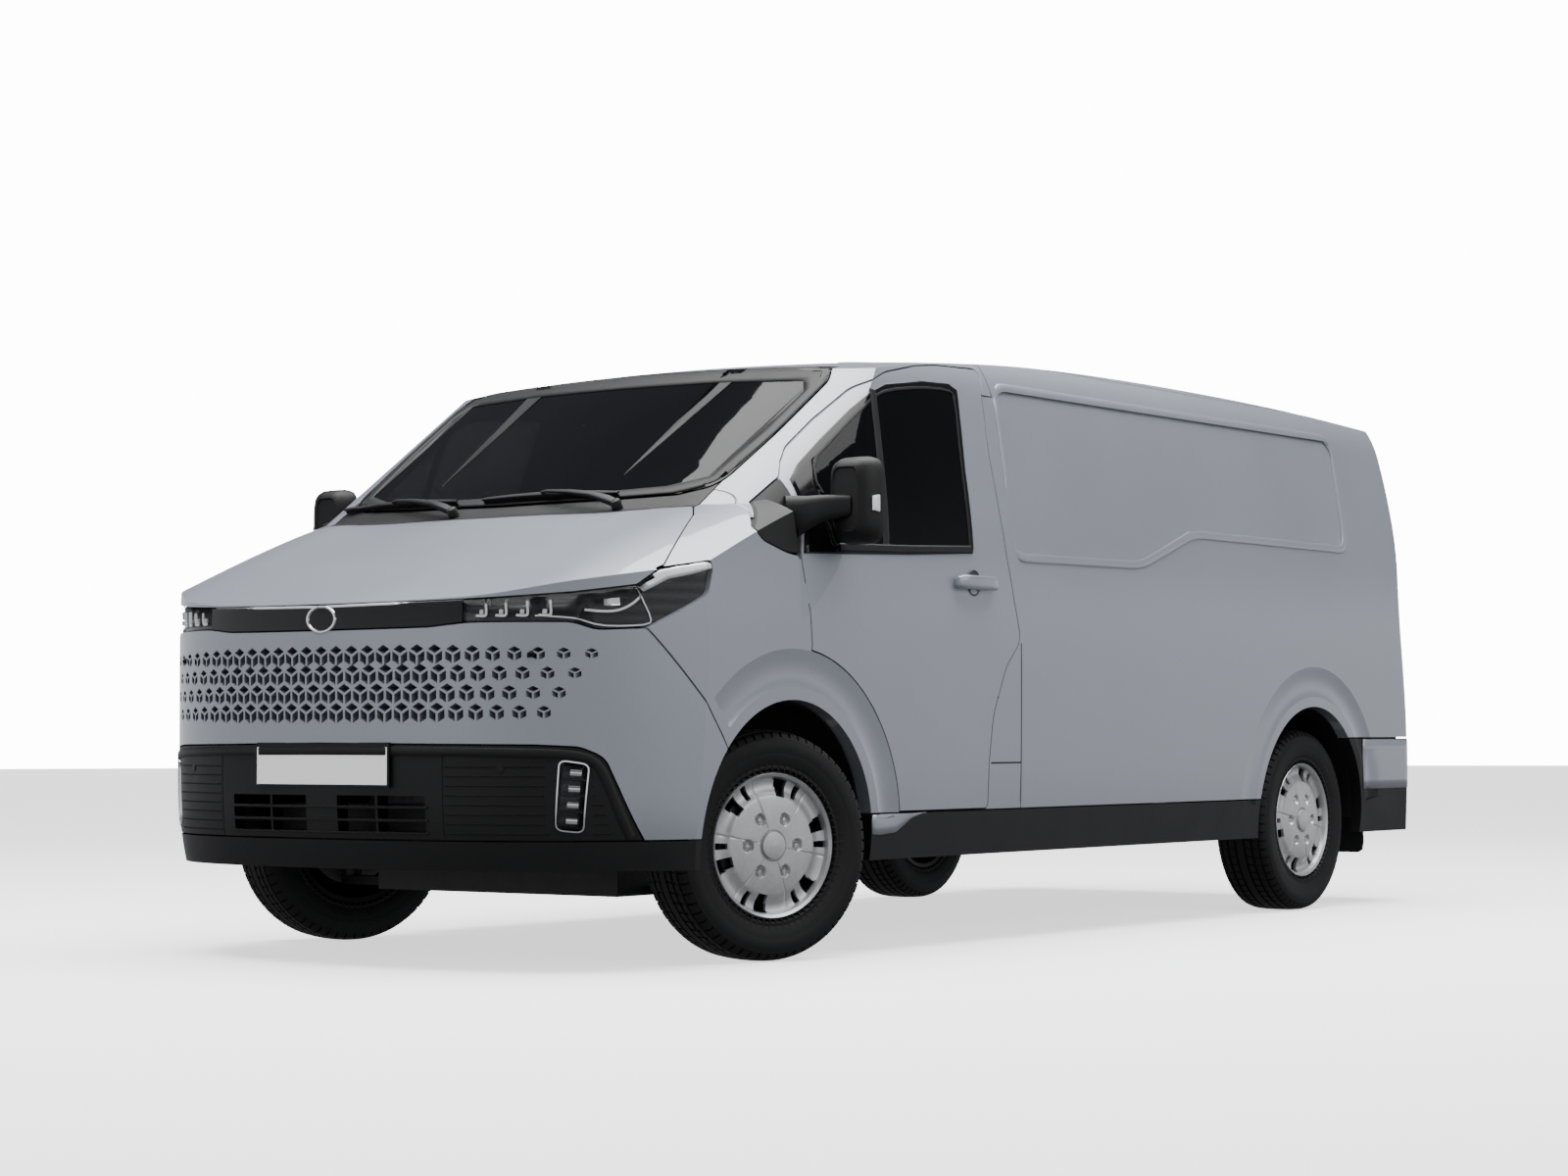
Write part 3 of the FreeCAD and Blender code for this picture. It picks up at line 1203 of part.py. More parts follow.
# Hinge leaves stand in the shut gaps, and each leaf is part of its panel's frame.
leaf_high = d.hinge_leaf
half_opening = d.roof_edge - d.frame_clearance
rear_bounds = [box(rear_x, rear_x + d.rear_overhang / 2, half_opening, reach, z, z + leaf_high)
               for z in (d.rear_hinge_low, d.rear_hinge_high)]
rear_leaves = hinge_leaves(rear_door_region, rear_bounds)
parts["body_side_left"] = parts["body_side_left"].fuse(rear_leaves)
parts["body_side_right"] = parts["body_side_right"].fuse([mirrored(leaf) for leaf in rear_leaves])
door_bounds = [box(front_axle - d.arch_radius, front_axle, half_opening, reach, z, z + leaf_high)
               for z in (d.door_hinge_low, d.door_hinge_high)]
door_leaves = hinge_leaves(door_region, door_bounds)
parts["fenders"] = parts["fenders"].fuse(door_leaves + [mirrored(leaf) for leaf in door_leaves])
bonnet_bounds = [box(front_axle, front_axle + d.arch_radius / 2, y, y + leaf_high,
                     d.cowl_low, d.body_height) for y in (d.bonnet_hinge_y, -d.bonnet_hinge_y - leaf_high)]
parts["cowl"] = parts["cowl"].fuse(hinge_leaves(bonnet_region, bonnet_bounds))
rear_ring = room.common(box(rear_x, rear_x + d.wall + d.frame_depth, -reach, reach,
                            d.floor_top + d.seat_gap, d.body_height))
rear_ring = rear_ring.cut(rear_door_region(d.frame_clearance))
parts["inner_frames"] = Part.makeCompound([bulk, rear_ring])

parts["slide_door"], body_side = take(parts["body_side_right"], slide_door_region)
parts["body_side_right"] = body_side
for name, shape in parts.items():
    feature(name, shape)
doc.recompute()
for name, item in made.items():
    bad = [flag for flag in item.State if flag in ("Invalid", "Error")]
    if bad or item.Shape.isNull() or not item.Shape.isValid():
        raise ValueError("sub-part %s failed" % name)
for name, item in made.items():
    item.Label = name
    item.Shape.exportStep("parts/%s.step" % name)
    print(name, len(item.Shape.Solids), item.Shape.BoundBox)
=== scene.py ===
import json
import math

import bmesh
import bpy
from mathutils import Matrix, Quaternion, Vector
from mathutils.bvhtree import BVHTree

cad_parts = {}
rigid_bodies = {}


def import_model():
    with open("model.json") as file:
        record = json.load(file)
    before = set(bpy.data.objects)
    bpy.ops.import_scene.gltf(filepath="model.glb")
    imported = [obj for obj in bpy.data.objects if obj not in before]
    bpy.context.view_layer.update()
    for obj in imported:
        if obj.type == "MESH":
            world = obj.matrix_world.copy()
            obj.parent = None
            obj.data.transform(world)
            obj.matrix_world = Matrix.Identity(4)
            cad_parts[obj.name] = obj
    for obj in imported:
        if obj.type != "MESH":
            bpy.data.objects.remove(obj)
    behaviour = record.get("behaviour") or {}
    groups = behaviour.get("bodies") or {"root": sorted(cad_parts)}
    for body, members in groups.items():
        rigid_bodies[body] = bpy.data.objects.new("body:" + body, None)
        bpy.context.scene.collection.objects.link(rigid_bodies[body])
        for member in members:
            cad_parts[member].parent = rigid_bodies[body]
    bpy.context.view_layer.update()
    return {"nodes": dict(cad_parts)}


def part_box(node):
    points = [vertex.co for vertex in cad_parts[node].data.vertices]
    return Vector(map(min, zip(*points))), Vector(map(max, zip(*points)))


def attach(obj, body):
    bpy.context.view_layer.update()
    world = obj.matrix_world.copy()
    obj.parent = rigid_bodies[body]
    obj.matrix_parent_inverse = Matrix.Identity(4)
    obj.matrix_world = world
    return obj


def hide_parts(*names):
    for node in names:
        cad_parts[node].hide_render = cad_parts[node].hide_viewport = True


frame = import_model()

# Studio.
# The van stands on a pale painted floor in a white room, seen from low down and
# ahead of its left front wheel. One large soft light hangs over it, one stands
# off its side and a weaker one fills in ahead of the nose.


def colour(code, alpha=1.0):
    """An sRGB hex colour as the linear one that the shaders want."""
    parts = [int(code[i:i + 2], 16) / 255 for i in (1, 3, 5)]
    return [p / 12.92 if p <= 0.04045 else ((p + 0.055) / 1.055) ** 2.4 for p in parts] + [alpha]


def add(tree, kind, inputs, **settings):
    """Adds a node with its settings; each input is a value or another node's socket."""
    made = tree.nodes.new(kind)
    for name, value in settings.items():
        setattr(made, name, value)
    for name, value in inputs.items():
        if isinstance(value, bpy.types.NodeSocket):
            tree.links.new(value, made.inputs[name])
        else:
            made.inputs[name].default_value = value
    return made


def new_finish(name):
    """An empty material, its node tree and a texture place in metres, fixed to the vehicle."""
    finish = bpy.data.materials.new(name)
    finish.use_nodes = True
    finish.node_tree.nodes.clear()
    return finish, finish.node_tree, add(finish.node_tree, "ShaderNodeTexCoord", {}).outputs["Object"]


def per_metre(millimetres):
    """Texture scale whose features are that many millimetres apart."""
    return 1000 / millimetres


def shaded(tree, inputs):
    """Ends a material with its shader, whose constants sit on its own sockets."""
    shader = add(tree, "ShaderNodeBsdfPrincipled", inputs)
    add(tree, "ShaderNodeOutputMaterial", {"Surface": shader.outputs["BSDF"]})
    return shader


def floor_paint_finish():
    """Matt floor paint: even and pale, with the faint clouding of a rolled coat."""
    finish, tree, place = new_finish("matt_floor_paint")
    cloud = add(tree, "ShaderNodeTexNoise", {"Vector": place, "Scale": per_metre(900), "Detail": 3.0})
    tone = add(tree, "ShaderNodeMix", {0: cloud.outputs["Fac"], 6: colour("#E9E9EA"), 7: colour("#F0F0F1")},
               data_type="RGBA")
    shaded(tree, {"Base Color": tone.outputs[2], "Roughness": 0.9, "Specular IOR Level": 0.2,
                  "Emission Color": colour("#FFFFFF"), "Emission Strength": 1.3})
    return finish


FLOOR_RADIUS, FLOOR_SIDES = 60.0, 64
floor_mesh = bpy.data.meshes.new("studio_floor")
floor_turns = [2 * math.pi * k / FLOOR_SIDES for k in range(FLOOR_SIDES)]
floor_mesh.from_pydata([(FLOOR_RADIUS * math.cos(turn), FLOOR_RADIUS * math.sin(turn), 0)
                        for turn in floor_turns], [], [list(range(FLOOR_SIDES))])
floor_mesh.materials.append(floor_paint_finish())
floor = bpy.data.objects.new("studio_floor", floor_mesh)
bpy.context.scene.collection.objects.link(floor)
# The floor is kept out of reflections, so that it can be bright without lighting the sills.
floor.visible_glossy = False
floor.visible_diffuse = False

room = bpy.data.worlds.new("white_room")
room.use_nodes = True
room.node_tree.nodes.clear()
way = add(room.node_tree, "ShaderNodeTexCoord", {})
height = add(room.node_tree, "ShaderNodeSeparateXYZ", {"Vector": way.outputs["Generated"]})
level = add(room.node_tree, "ShaderNodeMapRange", {"Value": height.outputs["Z"], "From Min": -1.0})
walls = add(room.node_tree, "ShaderNodeValToRGB", {"Fac": level.outputs["Result"]})
walls.color_ramp.elements[0].color = colour("#4A4A4B")
walls.color_ramp.elements[1].color = colour("#FFFFFF")
# Height of each band as the sine of its elevation: floor, bright skirting, dark wall, bright ceiling.
for sine, code in ((-0.14, "#58585A"), (-0.05, "#98999C"), (0.07, "#9A9B9F"), (0.2, "#58595D"),
                   (0.34, "#393A3E"), (0.78, "#3E3F43"), (0.9, "#D4D5D7")):
    band = walls.color_ramp.elements.new((sine + 1) / 2)
    band.color = colour(code)
glow = add(room.node_tree, "ShaderNodeBackground", {"Color": walls.outputs["Color"], "Strength": 3.2})
backdrop = add(room.node_tree, "ShaderNodeBackground", {"Color": colour("#FFFFFF"), "Strength": 14.0})
seen = add(room.node_tree, "ShaderNodeLightPath", {})
both = add(room.node_tree, "ShaderNodeMixShader",
           {0: seen.outputs["Is Camera Ray"], 1: glow.outputs["Background"],
            2: backdrop.outputs["Background"]})
add(room.node_tree, "ShaderNodeOutputWorld", {"Surface": both.outputs["Shader"]})
bpy.context.scene.world = room


def soft_light(name, place, target, size, power):
    """A large square lamp that faces its target."""
    lamp = bpy.data.lights.new(name, "AREA")
    lamp.shape = "RECTANGLE"
    lamp.size, lamp.size_y = size
    lamp.energy = power
    stand = bpy.data.objects.new(name, lamp)
    bpy.context.scene.collection.objects.link(stand)
    stand.location = place
    stand.visible_camera = False
    stand.rotation_euler = (Vector(target) - Vector(place)).to_track_quat("-Z", "Y").to_euler()


soft_light("overhead", (0.6, 0.4, 6.5), (0.4, 0, 0), (11.0, 7.0), 1500)
soft_light("side", (1.0, 9.0, 4.2), (0, 0, 1.0), (9.0, 3.0), 230)
soft_light("ahead", (9.5, -2.5, 3.6), (2.0, 0, 0.9), (5.0, 3.0), 90)

# The lens stands level with the bumper, as the photograph's does.
camera = bpy.data.objects.new("camera", bpy.data.cameras.new("camera"))
bpy.context.scene.collection.objects.link(camera)
bpy.context.scene.camera = camera
camera.data.sensor_width = 36.0
camera.data.lens = 74.0
camera.data.clip_start, camera.data.clip_end = 0.1, 300
camera.location = (9.479, 6.562, 0.666)
TURN, RISE, ROLL = math.radians(35.82), math.radians(2.63), math.radians(-0.126)
ahead = Vector((-math.cos(TURN) * math.cos(RISE), -math.sin(TURN) * math.cos(RISE), math.sin(RISE)))
camera.rotation_mode = "QUATERNION"
camera.rotation_quaternion = ahead.to_track_quat("-Z", "Y") @ Quaternion((0, 0, 1), ROLL)

# Painted steel body.
# Pressed steel panels under grey-blue metallic enamel and a thick clear lacquer.
# The panels are the model's own; each is one pressing with the shut gaps between
# them, and the lacquer gives a slow orange peel that only shows in reflections.


def lacquered_steel_finish():
    """Metallic enamel under clear coat: fine flakes lift the grey, the lacquer gives the gloss."""
    finish, tree, place = new_finish("lacquered_metallic_enamel")
    # Real flakes are 0.05 mm; drawn at 1.6 mm so that they show at all.
    flakes = add(tree, "ShaderNodeTexVoronoi", {"Vector": place, "Scale": per_metre(1.6)})
    drift = add(tree, "ShaderNodeTexNoise", {"Vector": place, "Scale": per_metre(420), "Detail": 2.0})
    glint = add(tree, "ShaderNodeMapRange", {"Value": flakes.outputs["Color"], "To Min": 0.2, "To Max": 0.8})
    blend = add(tree, "ShaderNodeMath", {0: glint.outputs["Result"], 1: drift.outputs["Fac"]},
                operation="MULTIPLY")
    tone = add(tree, "ShaderNodeMix", {0: blend.outputs["Value"], 6: colour("#858992"), 7: colour("#949AA3")},
               data_type="RGBA")
    rough = add(tree, "ShaderNodeMapRange", {"Value": drift.outputs["Fac"], "To Min": 0.34, "To Max": 0.42})
    # Orange peel of the lacquer, waves about 9 mm long.
    peel = add(tree, "ShaderNodeTexNoise", {"Vector": place, "Scale": per_metre(9), "Detail": 1.0})
    bump = add(tree, "ShaderNodeBump", {"Height": peel.outputs["Fac"], "Strength": 0.03, "Distance": 0.0002})
    shaded(tree, {"Base Color": tone.outputs[2], "Metallic": 0.3, "Roughness": rough.outputs["Result"],
                  "Normal": bump.outputs["Normal"], "Coat Weight": 0.7, "Coat Roughness": 0.05})
    return finish


def dress(finish, *names):
    """Gives model nodes their finish."""
    for name in names:
        slots = frame["nodes"][name].data.materials
        slots.clear()
        slots.append(finish)


enamel = lacquered_steel_finish()
dress(enamel, "body_side_left", "body_side_right", "slide_door", "door_left", "door_right", "bonnet",
      "front_panel", "fenders", "roof", "cab_frame", "rear_door_left", "rear_door_right")

# Black plastic trim.
# Bumpers, sills, lip and cowl are moulded in black polypropylene with a fine
# spark-eroded grain; wheel arch liners are the same stuff, rougher and duller.


def grained_plastic_finish(name, dark, light, grain, depth, rough):
    """Moulded polypropylene: low even sheen broken by a fine grain from the tool."""
    finish, tree, place = new_finish(name)
    leather = add(tree, "ShaderNodeTexNoise", {"Vector": place, "Scale": per_metre(grain), "Detail": 4.0,
                                               "Roughness": 0.65})
    scuff = add(tree, "ShaderNodeTexNoise", {"Vector": place, "Scale": per_metre(140), "Detail": 5.0})
    tone = add(tree, "ShaderNodeMix", {0: scuff.outputs["Fac"], 6: colour(dark), 7: colour(light)},
               data_type="RGBA")
    gloss = add(tree, "ShaderNodeMapRange", {"Value": scuff.outputs["Fac"], "To Min": rough - 0.06,
                                             "To Max": rough + 0.08})
    bump = add(tree, "ShaderNodeBump", {"Height": leather.outputs["Fac"], "Strength": 0.35,
                                        "Distance": depth / 1000})
    shaded(tree, {"Base Color": tone.outputs[2], "Roughness": gloss.outputs["Result"],
                  "Normal": bump.outputs["Normal"], "IOR": 1.49, "Specular IOR Level": 0.3})
    return finish


# Grain is 0.4 mm on the part and drawn at 2.5 mm, the liners' coarser one at 8 mm.
trim_plastic = grained_plastic_finish("grained_polypropylene", "#0B0B0C", "#131314", 2.5, 0.25, 0.5)
liner_plastic = grained_plastic_finish("liner_polypropylene", "#060606", "#0C0C0C", 8, 0.8, 0.8)
dress(trim_plastic, "bumper_front", "lower_trims", "cowl", "rear_bumper", "corner_trims")
dress(liner_plastic, "wheel_arches")


def gloss_black_finish():
    """Piano-black ABS: deep black with a wet gloss and faint swirl marks."""
    finish, tree, place = new_finish("gloss_black_abs")
    swirl = add(tree, "ShaderNodeTexNoise", {"Vector": place, "Scale": per_metre(35), "Detail": 6.0})
    gloss = add(tree, "ShaderNodeMapRange", {"Value": swirl.outputs["Fac"], "To Min": 0.05, "To Max": 0.14})
    tone = add(tree, "ShaderNodeMix", {0: swirl.outputs["Fac"], 6: colour("#0A0A0B"), 7: colour("#111113")},
               data_type="RGBA")
    shaded(tree, {"Base Color": tone.outputs[2], "Roughness": gloss.outputs["Result"], "IOR": 1.52,
                  "Specular IOR Level": 0.25})
    return finish


gloss_black = gloss_black_finish()
dress(gloss_black, "light_bar")

# Chassis and running gear.
# Welded steel rails, axle, subframe and battery case in black dip paint, iron
# knuckles and an aluminium drive housing: nearly all of it shows only from below.


def dip_paint_finish():
    """Electro-dipped black paint: dull, a little dusty, with grit from the road."""
    finish, tree, place = new_finish("dip_painted_steel")
    dust = add(tree, "ShaderNodeTexNoise", {"Vector": place, "Scale": per_metre(60), "Detail": 8.0})
    tone = add(tree, "ShaderNodeMix", {0: dust.outputs["Fac"], 6: colour("#121213"), 7: colour("#2B2A29")},
               data_type="RGBA")
    grit = add(tree, "ShaderNodeTexVoronoi", {"Vector": place, "Scale": per_metre(6)})
    bump = add(tree, "ShaderNodeBump", {"Height": grit.outputs["Distance"], "Strength": 0.2,
                                        "Distance": 0.0006})
    shaded(tree, {"Base Color": tone.outputs[2], "Roughness": 0.55, "Metallic": 0.2,
                  "Normal": bump.outputs["Normal"]})
    return finish


def cast_iron_finish():
    """Sand-cast iron: dark grey, grainy and unpainted, with a brown tint where it is damp."""
    finish, tree, place = new_finish("sand_cast_iron")
    sand = add(tree, "ShaderNodeTexNoise", {"Vector": place, "Scale": per_metre(3), "Detail": 6.0})
    rust = add(tree, "ShaderNodeTexNoise", {"Vector": place, "Scale": per_metre(45), "Detail": 4.0})
    tone = add(tree, "ShaderNodeMix", {0: rust.outputs["Fac"], 6: colour("#3A3A3C"), 7: colour("#54483F")},
               data_type="RGBA")
    bump = add(tree, "ShaderNodeBump", {"Height": sand.outputs["Fac"], "Strength": 0.6, "Distance": 0.0008})
    shaded(tree, {"Base Color": tone.outputs[2], "Metallic": 0.8, "Roughness": 0.6,
                  "Normal": bump.outputs["Normal"]})
    return finish


def pressed_aluminium_finish():
    """Mill-finish aluminium sheet: pale, drawn streaks along the rolling direction."""
    finish, tree, place = new_finish("mill_finish_aluminium")
    along = add(tree, "ShaderNodeMapping", {"Vector": place, "Scale": (1.0, 40.0, 40.0)})
    streak = add(tree, "ShaderNodeTexNoise", {"Vector": along.outputs["Vector"], "Scale": per_metre(250),
                                              "Detail": 5.0})
    tone = add(tree, "ShaderNodeMix", {0: streak.outputs["Fac"], 6: colour("#8D8F91"), 7: colour("#A9ABAC")},
               data_type="RGBA")
    rough = add(tree, "ShaderNodeMapRange", {"Value": streak.outputs["Fac"], "To Min": 0.32, "To Max": 0.5})
    shaded(tree, {"Base Color": tone.outputs[2], "Metallic": 1.0, "Roughness": rough.outputs["Result"]})
    return finish


dress(dip_paint_finish(), "underframe", "rear_axle", "front_subframe", "battery_pack")
dress(cast_iron_finish(), "knuckle_left", "knuckle_right")
dress(pressed_aluminium_finish(), "drive_unit")

# Floor and inner panels.
# The load floor, bulkhead and the frame inside the rear doors are bare pressings
# in thin grey-blue body colour without lacquer, so they stay matt and chalky.


def thin_primer_finish():
    """Body colour without lacquer over primer: matt, uneven where the spray thinned out."""
    finish, tree, place = new_finish("thin_body_colour_over_primer")
    spray = add(tree, "ShaderNodeTexNoise", {"Vector": place, "Scale": per_metre(180), "Detail": 5.0})
    tone = add(tree, "ShaderNodeMix", {0: spray.outputs["Fac"], 6: colour("#6B7079"), 7: colour("#7F848E")},
               data_type="RGBA")
    shaded(tree, {"Base Color": tone.outputs[2], "Roughness": 0.6, "Metallic": 0.1})
    return finish


thin_colour = thin_primer_finish()
dress(thin_colour, "floor_pan", "inner_frames")

# Glazing.
# Windscreen and door windows are laminated and toughened glass, tinted grey; the
# cab behind them reads almost black and the far window still glows through.


def tinted_glass_finish():
    """Tinted float glass: a dark see-through body with a hard, clean reflection."""
    finish, tree, place = new_finish("tinted_float_glass")
    haze = add(tree, "ShaderNodeTexNoise", {"Vector": place, "Scale": per_metre(300), "Detail": 2.0})
    gloss = add(tree, "ShaderNodeMapRange", {"Value": haze.outputs["Fac"], "To Min": 0.005, "To Max": 0.02})
    tone = add(tree, "ShaderNodeMix", {0: haze.outputs["Fac"], 6: colour("#060708"), 7: colour("#0B0C0E")},
               data_type="RGBA")
    shaded(tree, {"Base Color": tone.outputs[2], "Roughness": gloss.outputs["Result"], "IOR": 1.52,
                  "Specular IOR Level": 0.12, "Alpha": 0.86})
    finish.surface_render_method = "BLENDED"
    return finish


glass = tinted_glass_finish()
dress(glass, "windscreen", "door_glass_left", "door_glass_right")

# Tyres.
# Radial tyres with a 215 mm section on 16-inch rims: black rubber, five tread
# ribs between rounded shoulders, cross sipes in the shoulders and in the ribs
# beside the middle one, and moulded rings round the wall.
TREAD_DEPTH = 0.008
PITCHES = 64
# Steps along one pitch, as (share of the pitch, sunk or not): the block, then a sipe with near-upright walls.
PITCH_STEPS = ((0.0, 0), (0.4, 0), (0.78, 0), (0.8, 1), (0.98, 1))
# Half of the section from the tread's middle to the bead, as (across, radius) in metres.
TYRE_HALF = ((0.0, 0.343), (0.014, 0.3429), (0.0142, 0.3349), (0.0228, 0.3347), (0.023, 0.3427),
             (0.044, 0.3422), (0.0442, 0.3344), (0.0538, 0.334), (0.054, 0.3416), (0.074, 0.340),
             (0.0742, 0.3335), (0.0808, 0.333), (0.081, 0.3385), (0.092, 0.3345), (0.0985, 0.3275),
             (0.1015, 0.319), (0.1035, 0.3165), (0.1038, 0.3125), (0.1055, 0.309), (0.1068, 0.295),
             (0.1074, 0.2785), (0.1064, 0.276), (0.1066, 0.2715), (0.1052, 0.262), (0.1018, 0.247),
             (0.0975, 0.2375), (0.0985, 0.2345), (0.0985, 0.2285), (0.0935, 0.2245), (0.0855, 0.222),
             (0.079, 0.2185), (0.076, 0.206))


def piece(name, corners, faces, finish, body, smooth=True):
    """A mesh with its finish, riding on one of the vehicle's bodies."""
    mesh = bpy.data.meshes.new(name)
    mesh.from_pydata([tuple(c) for c in corners], [], faces)
    mesh.materials.append(finish)
    mesh.update()
    made = bpy.data.objects.new(name, mesh)
    bpy.context.scene.collection.objects.link(made)
    if smooth:
        mesh.shade_smooth()
        mesh.set_sharp_from_angle(angle=math.radians(32))
    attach(made, body)
    return made


def ring_faces(rings, size, closed=True, wrap=True):
    """Faces between rings of equal size; wrap joins the last ring to the first."""
    faces = []
    for i in range(rings if wrap else rings - 1):
        j = (i + 1) % rings
        for k in range(size if closed else size - 1):
            m = (k + 1) % size
            faces.append((i * size + k, j * size + k, j * size + m, i * size + m))
    return faces


def rubber_finish():
    """Carbon-black rubber: dull charcoal, greyer where it has rubbed and dried."""
    finish, tree, place = new_finish("moulded_tyre_rubber")
    dry = add(tree, "ShaderNodeTexNoise", {"Vector": place, "Scale": per_metre(55), "Detail": 6.0})
    tone = add(tree, "ShaderNodeMix", {0: dry.outputs["Fac"], 6: colour("#0C0C0D"), 7: colour("#171718")},
               data_type="RGBA")
    # Mould grain of about 1 mm, drawn at 3 mm.
    grain = add(tree, "ShaderNodeTexNoise", {"Vector": place, "Scale": per_metre(3), "Detail": 3.0})
    bump = add(tree, "ShaderNodeBump", {"Height": grain.outputs["Fac"], "Strength": 0.25, "Distance": 0.0004})
    shaded(tree, {"Base Color": tone.outputs[2], "Roughness": 0.62, "Normal": bump.outputs["Normal"],
                  "IOR": 1.52, "Specular IOR Level": 0.25})
    return finish


def tyre_corners():
    """Rings of the tyre round its axis, local Z, with cross sipes in the shoulder and middle ribs."""
    section = [(-across, radius) for across, radius in reversed(TYRE_HALF)] + list(TYRE_HALF[1:])
    corners = []
    for pitch in range(PITCHES):
        for share, sunk in PITCH_STEPS:
            for across, radius in section:
                slant = 0.35 * abs(across) / 0.09
                turn = 2 * math.pi * (pitch + share + slant) / PITCHES
                shoulder = 0.079 < abs(across) < 0.1
                rib = 0.022 < abs(across) < 0.055 and radius > 0.34
                depth = 0.9 * TREAD_DEPTH if shoulder else 0.45 * TREAD_DEPTH if rib else 0
                r = radius - depth * sunk
                corners.append((r * math.cos(turn), r * math.sin(turn), across))
    return corners, len(section)


def wheel_frame(centre, outward):
    """Places a wheel's own frame: local Z along its axle, outwards."""
    away = Vector(outward).normalized()
    up = Vector((0, 0, 1))
    across = up.cross(away)
    turn = Matrix((across, up, away)).transposed().to_4x4()
    return Matrix.Translation(centre) @ turn


# The front wheels stand turned to the left, as they do in the photograph.
STEER = math.radians(19)
# The rolling bodies: where each hub's centre stands and which way its wheel faces.
HUBS = {"wheel_front_left": ((1.7262, 0.8586, 0.343), (math.sin(STEER), math.cos(STEER), 0)),
        "wheel_front_right": ((1.6858, -0.8586, 0.343), (-math.sin(STEER), -math.cos(STEER), 0)),
        "wheel_rear_left": ((-1.66, 0.862, 0.343), (0, 1, 0)),
        "wheel_rear_right": ((-1.66, -0.862, 0.343), (0, -1, 0))}


def placed(name, mesh, body, transform):
    """An object that shows a mesh already made, at its place, riding on a body."""
    made = bpy.data.objects.new(name, mesh)
    bpy.context.scene.collection.objects.link(made)
    made.matrix_world = transform
    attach(made, body)
    return made


def shared_mesh(name, corners, faces, finish, angle=32):
    """A mesh in a wheel's own frame, shown once on every wheel."""
    mesh = bpy.data.meshes.new(name)
    mesh.from_pydata([tuple(c) for c in corners], [], faces)
    mesh.materials.append(finish)
    mesh.shade_smooth()
    mesh.set_sharp_from_angle(angle=math.radians(angle))
    return mesh


rubber = rubber_finish()
tyre_rings, section_size = tyre_corners()
tyre_mesh = shared_mesh("tyre", tyre_rings, ring_faces(PITCHES * len(PITCH_STEPS), section_size), rubber)
for body, (centre, outward) in HUBS.items():
    tyre = placed("tread_" + body, tyre_mesh, body, wheel_frame(centre, outward))
    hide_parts(body.replace("wheel", "tyre"))

# Wheel covers.
# Full covers moulded in ABS and sprayed silver, clipped over black steel wheels:
# six pockets for the nuts round a plain cap, and in the dished rim six pairs of
# a large window and a slot through which the steel wheel shows.
COVER_STEPS = 240
COVER_FACE = 0.0975
COVER_WALL = 0.012
COVER_RADII = [0.0, 0.02, 0.033, 0.0375, 0.0395, 0.0415, 0.0435, 0.0475, 0.056, 0.063, 0.069, 0.0735, 0.078,
               0.083, 0.088, 0.093, 0.098, 0.1025, 0.107, 0.113, 0.12, 0.129, 0.138, 0.146, 0.1505, 0.155,
               0.163, 0.172, 0.181, 0.19, 0.1945, 0.199, 0.2045, 0.2085, 0.2125, 0.2165, 0.219]
COVER_EDGE = 0.219
LUG_CIRCLE = 0.088
LUG_POCKET = 0.019


def cover_height(radius, angle):
    """Depth of the cover's face behind the rim's outer edge, in metres."""
    if radius < 0.0415:
        base = -0.006 + 0.004 * (radius / 0.0415) ** 2
    elif radius < 0.0475:
        base = 0.008
    elif radius < 0.15:
        base = 0.004 + 0.008 * ((radius - 0.0475) / 0.1) ** 2
    elif radius < 0.2:
        base = 0.013 + 0.012 * math.sin(math.pi * (radius - 0.15) / 0.062)
    else:
        base = 0.0115 - 0.0105 * min(1, (radius - 0.2) / 0.0125)
    if radius > 0.2125:
        base = 0.001 + 0.011 * ((radius - 0.2125) / 0.0065) ** 2
    sector = (angle + 30) % 60 - 30
    # Nut pockets: a cone with a flat floor, on the line of the slots.
    turn = math.radians(sector)
    away = math.hypot(radius * math.cos(turn) - LUG_CIRCLE, radius * math.sin(turn))
    if away < LUG_POCKET:
        base += 0.0125 * min(1, (LUG_POCKET - away) / 0.006)
    if away < 0.008:
        base -= 0.008
    # A fine seam runs out between the windows.
    if 0.05 < radius < 0.2 and abs(sector + 10.5) < 0.8:
        base += 0.0016
    return base


def cover_open(radius, angle):
    """True where the cover has a window or a slot."""
    sector = (angle + 30) % 60 - 30
    window = 0.146 <= radius < 0.198 and 11.4 <= sector < 26.4 - (0.198 - radius) * 60
    slot = 0.158 <= radius < 0.198 and -3.1 <= sector < 3.1
    return window or slot


def silver_lacquer_finish():
    """Silver spray lacquer on ABS: pale aluminium flakes, half gloss."""
    finish, tree, place = new_finish("silver_sprayed_abs")
    flakes = add(tree, "ShaderNodeTexVoronoi", {"Vector": place, "Scale": per_metre(1.8)})
    grime = add(tree, "ShaderNodeTexNoise", {"Vector": place, "Scale": per_metre(30), "Detail": 5.0})
    tint = add(tree, "ShaderNodeMath", {0: flakes.outputs["Color"], 1: grime.outputs["Fac"]},
               operation="MULTIPLY")
    tone = add(tree, "ShaderNodeMix", {0: tint.outputs["Value"], 6: colour("#A7A8A9"), 7: colour("#D2D2D2")},
               data_type="RGBA")
    rough = add(tree, "ShaderNodeMapRange", {"Value": grime.outputs["Fac"], "To Min": 0.3, "To Max": 0.42})
    shaded(tree, {"Base Color": tone.outputs[2], "Metallic": 0.6, "Roughness": rough.outputs["Result"],
                  "Coat Weight": 0.35, "Coat Roughness": 0.15})
    return finish


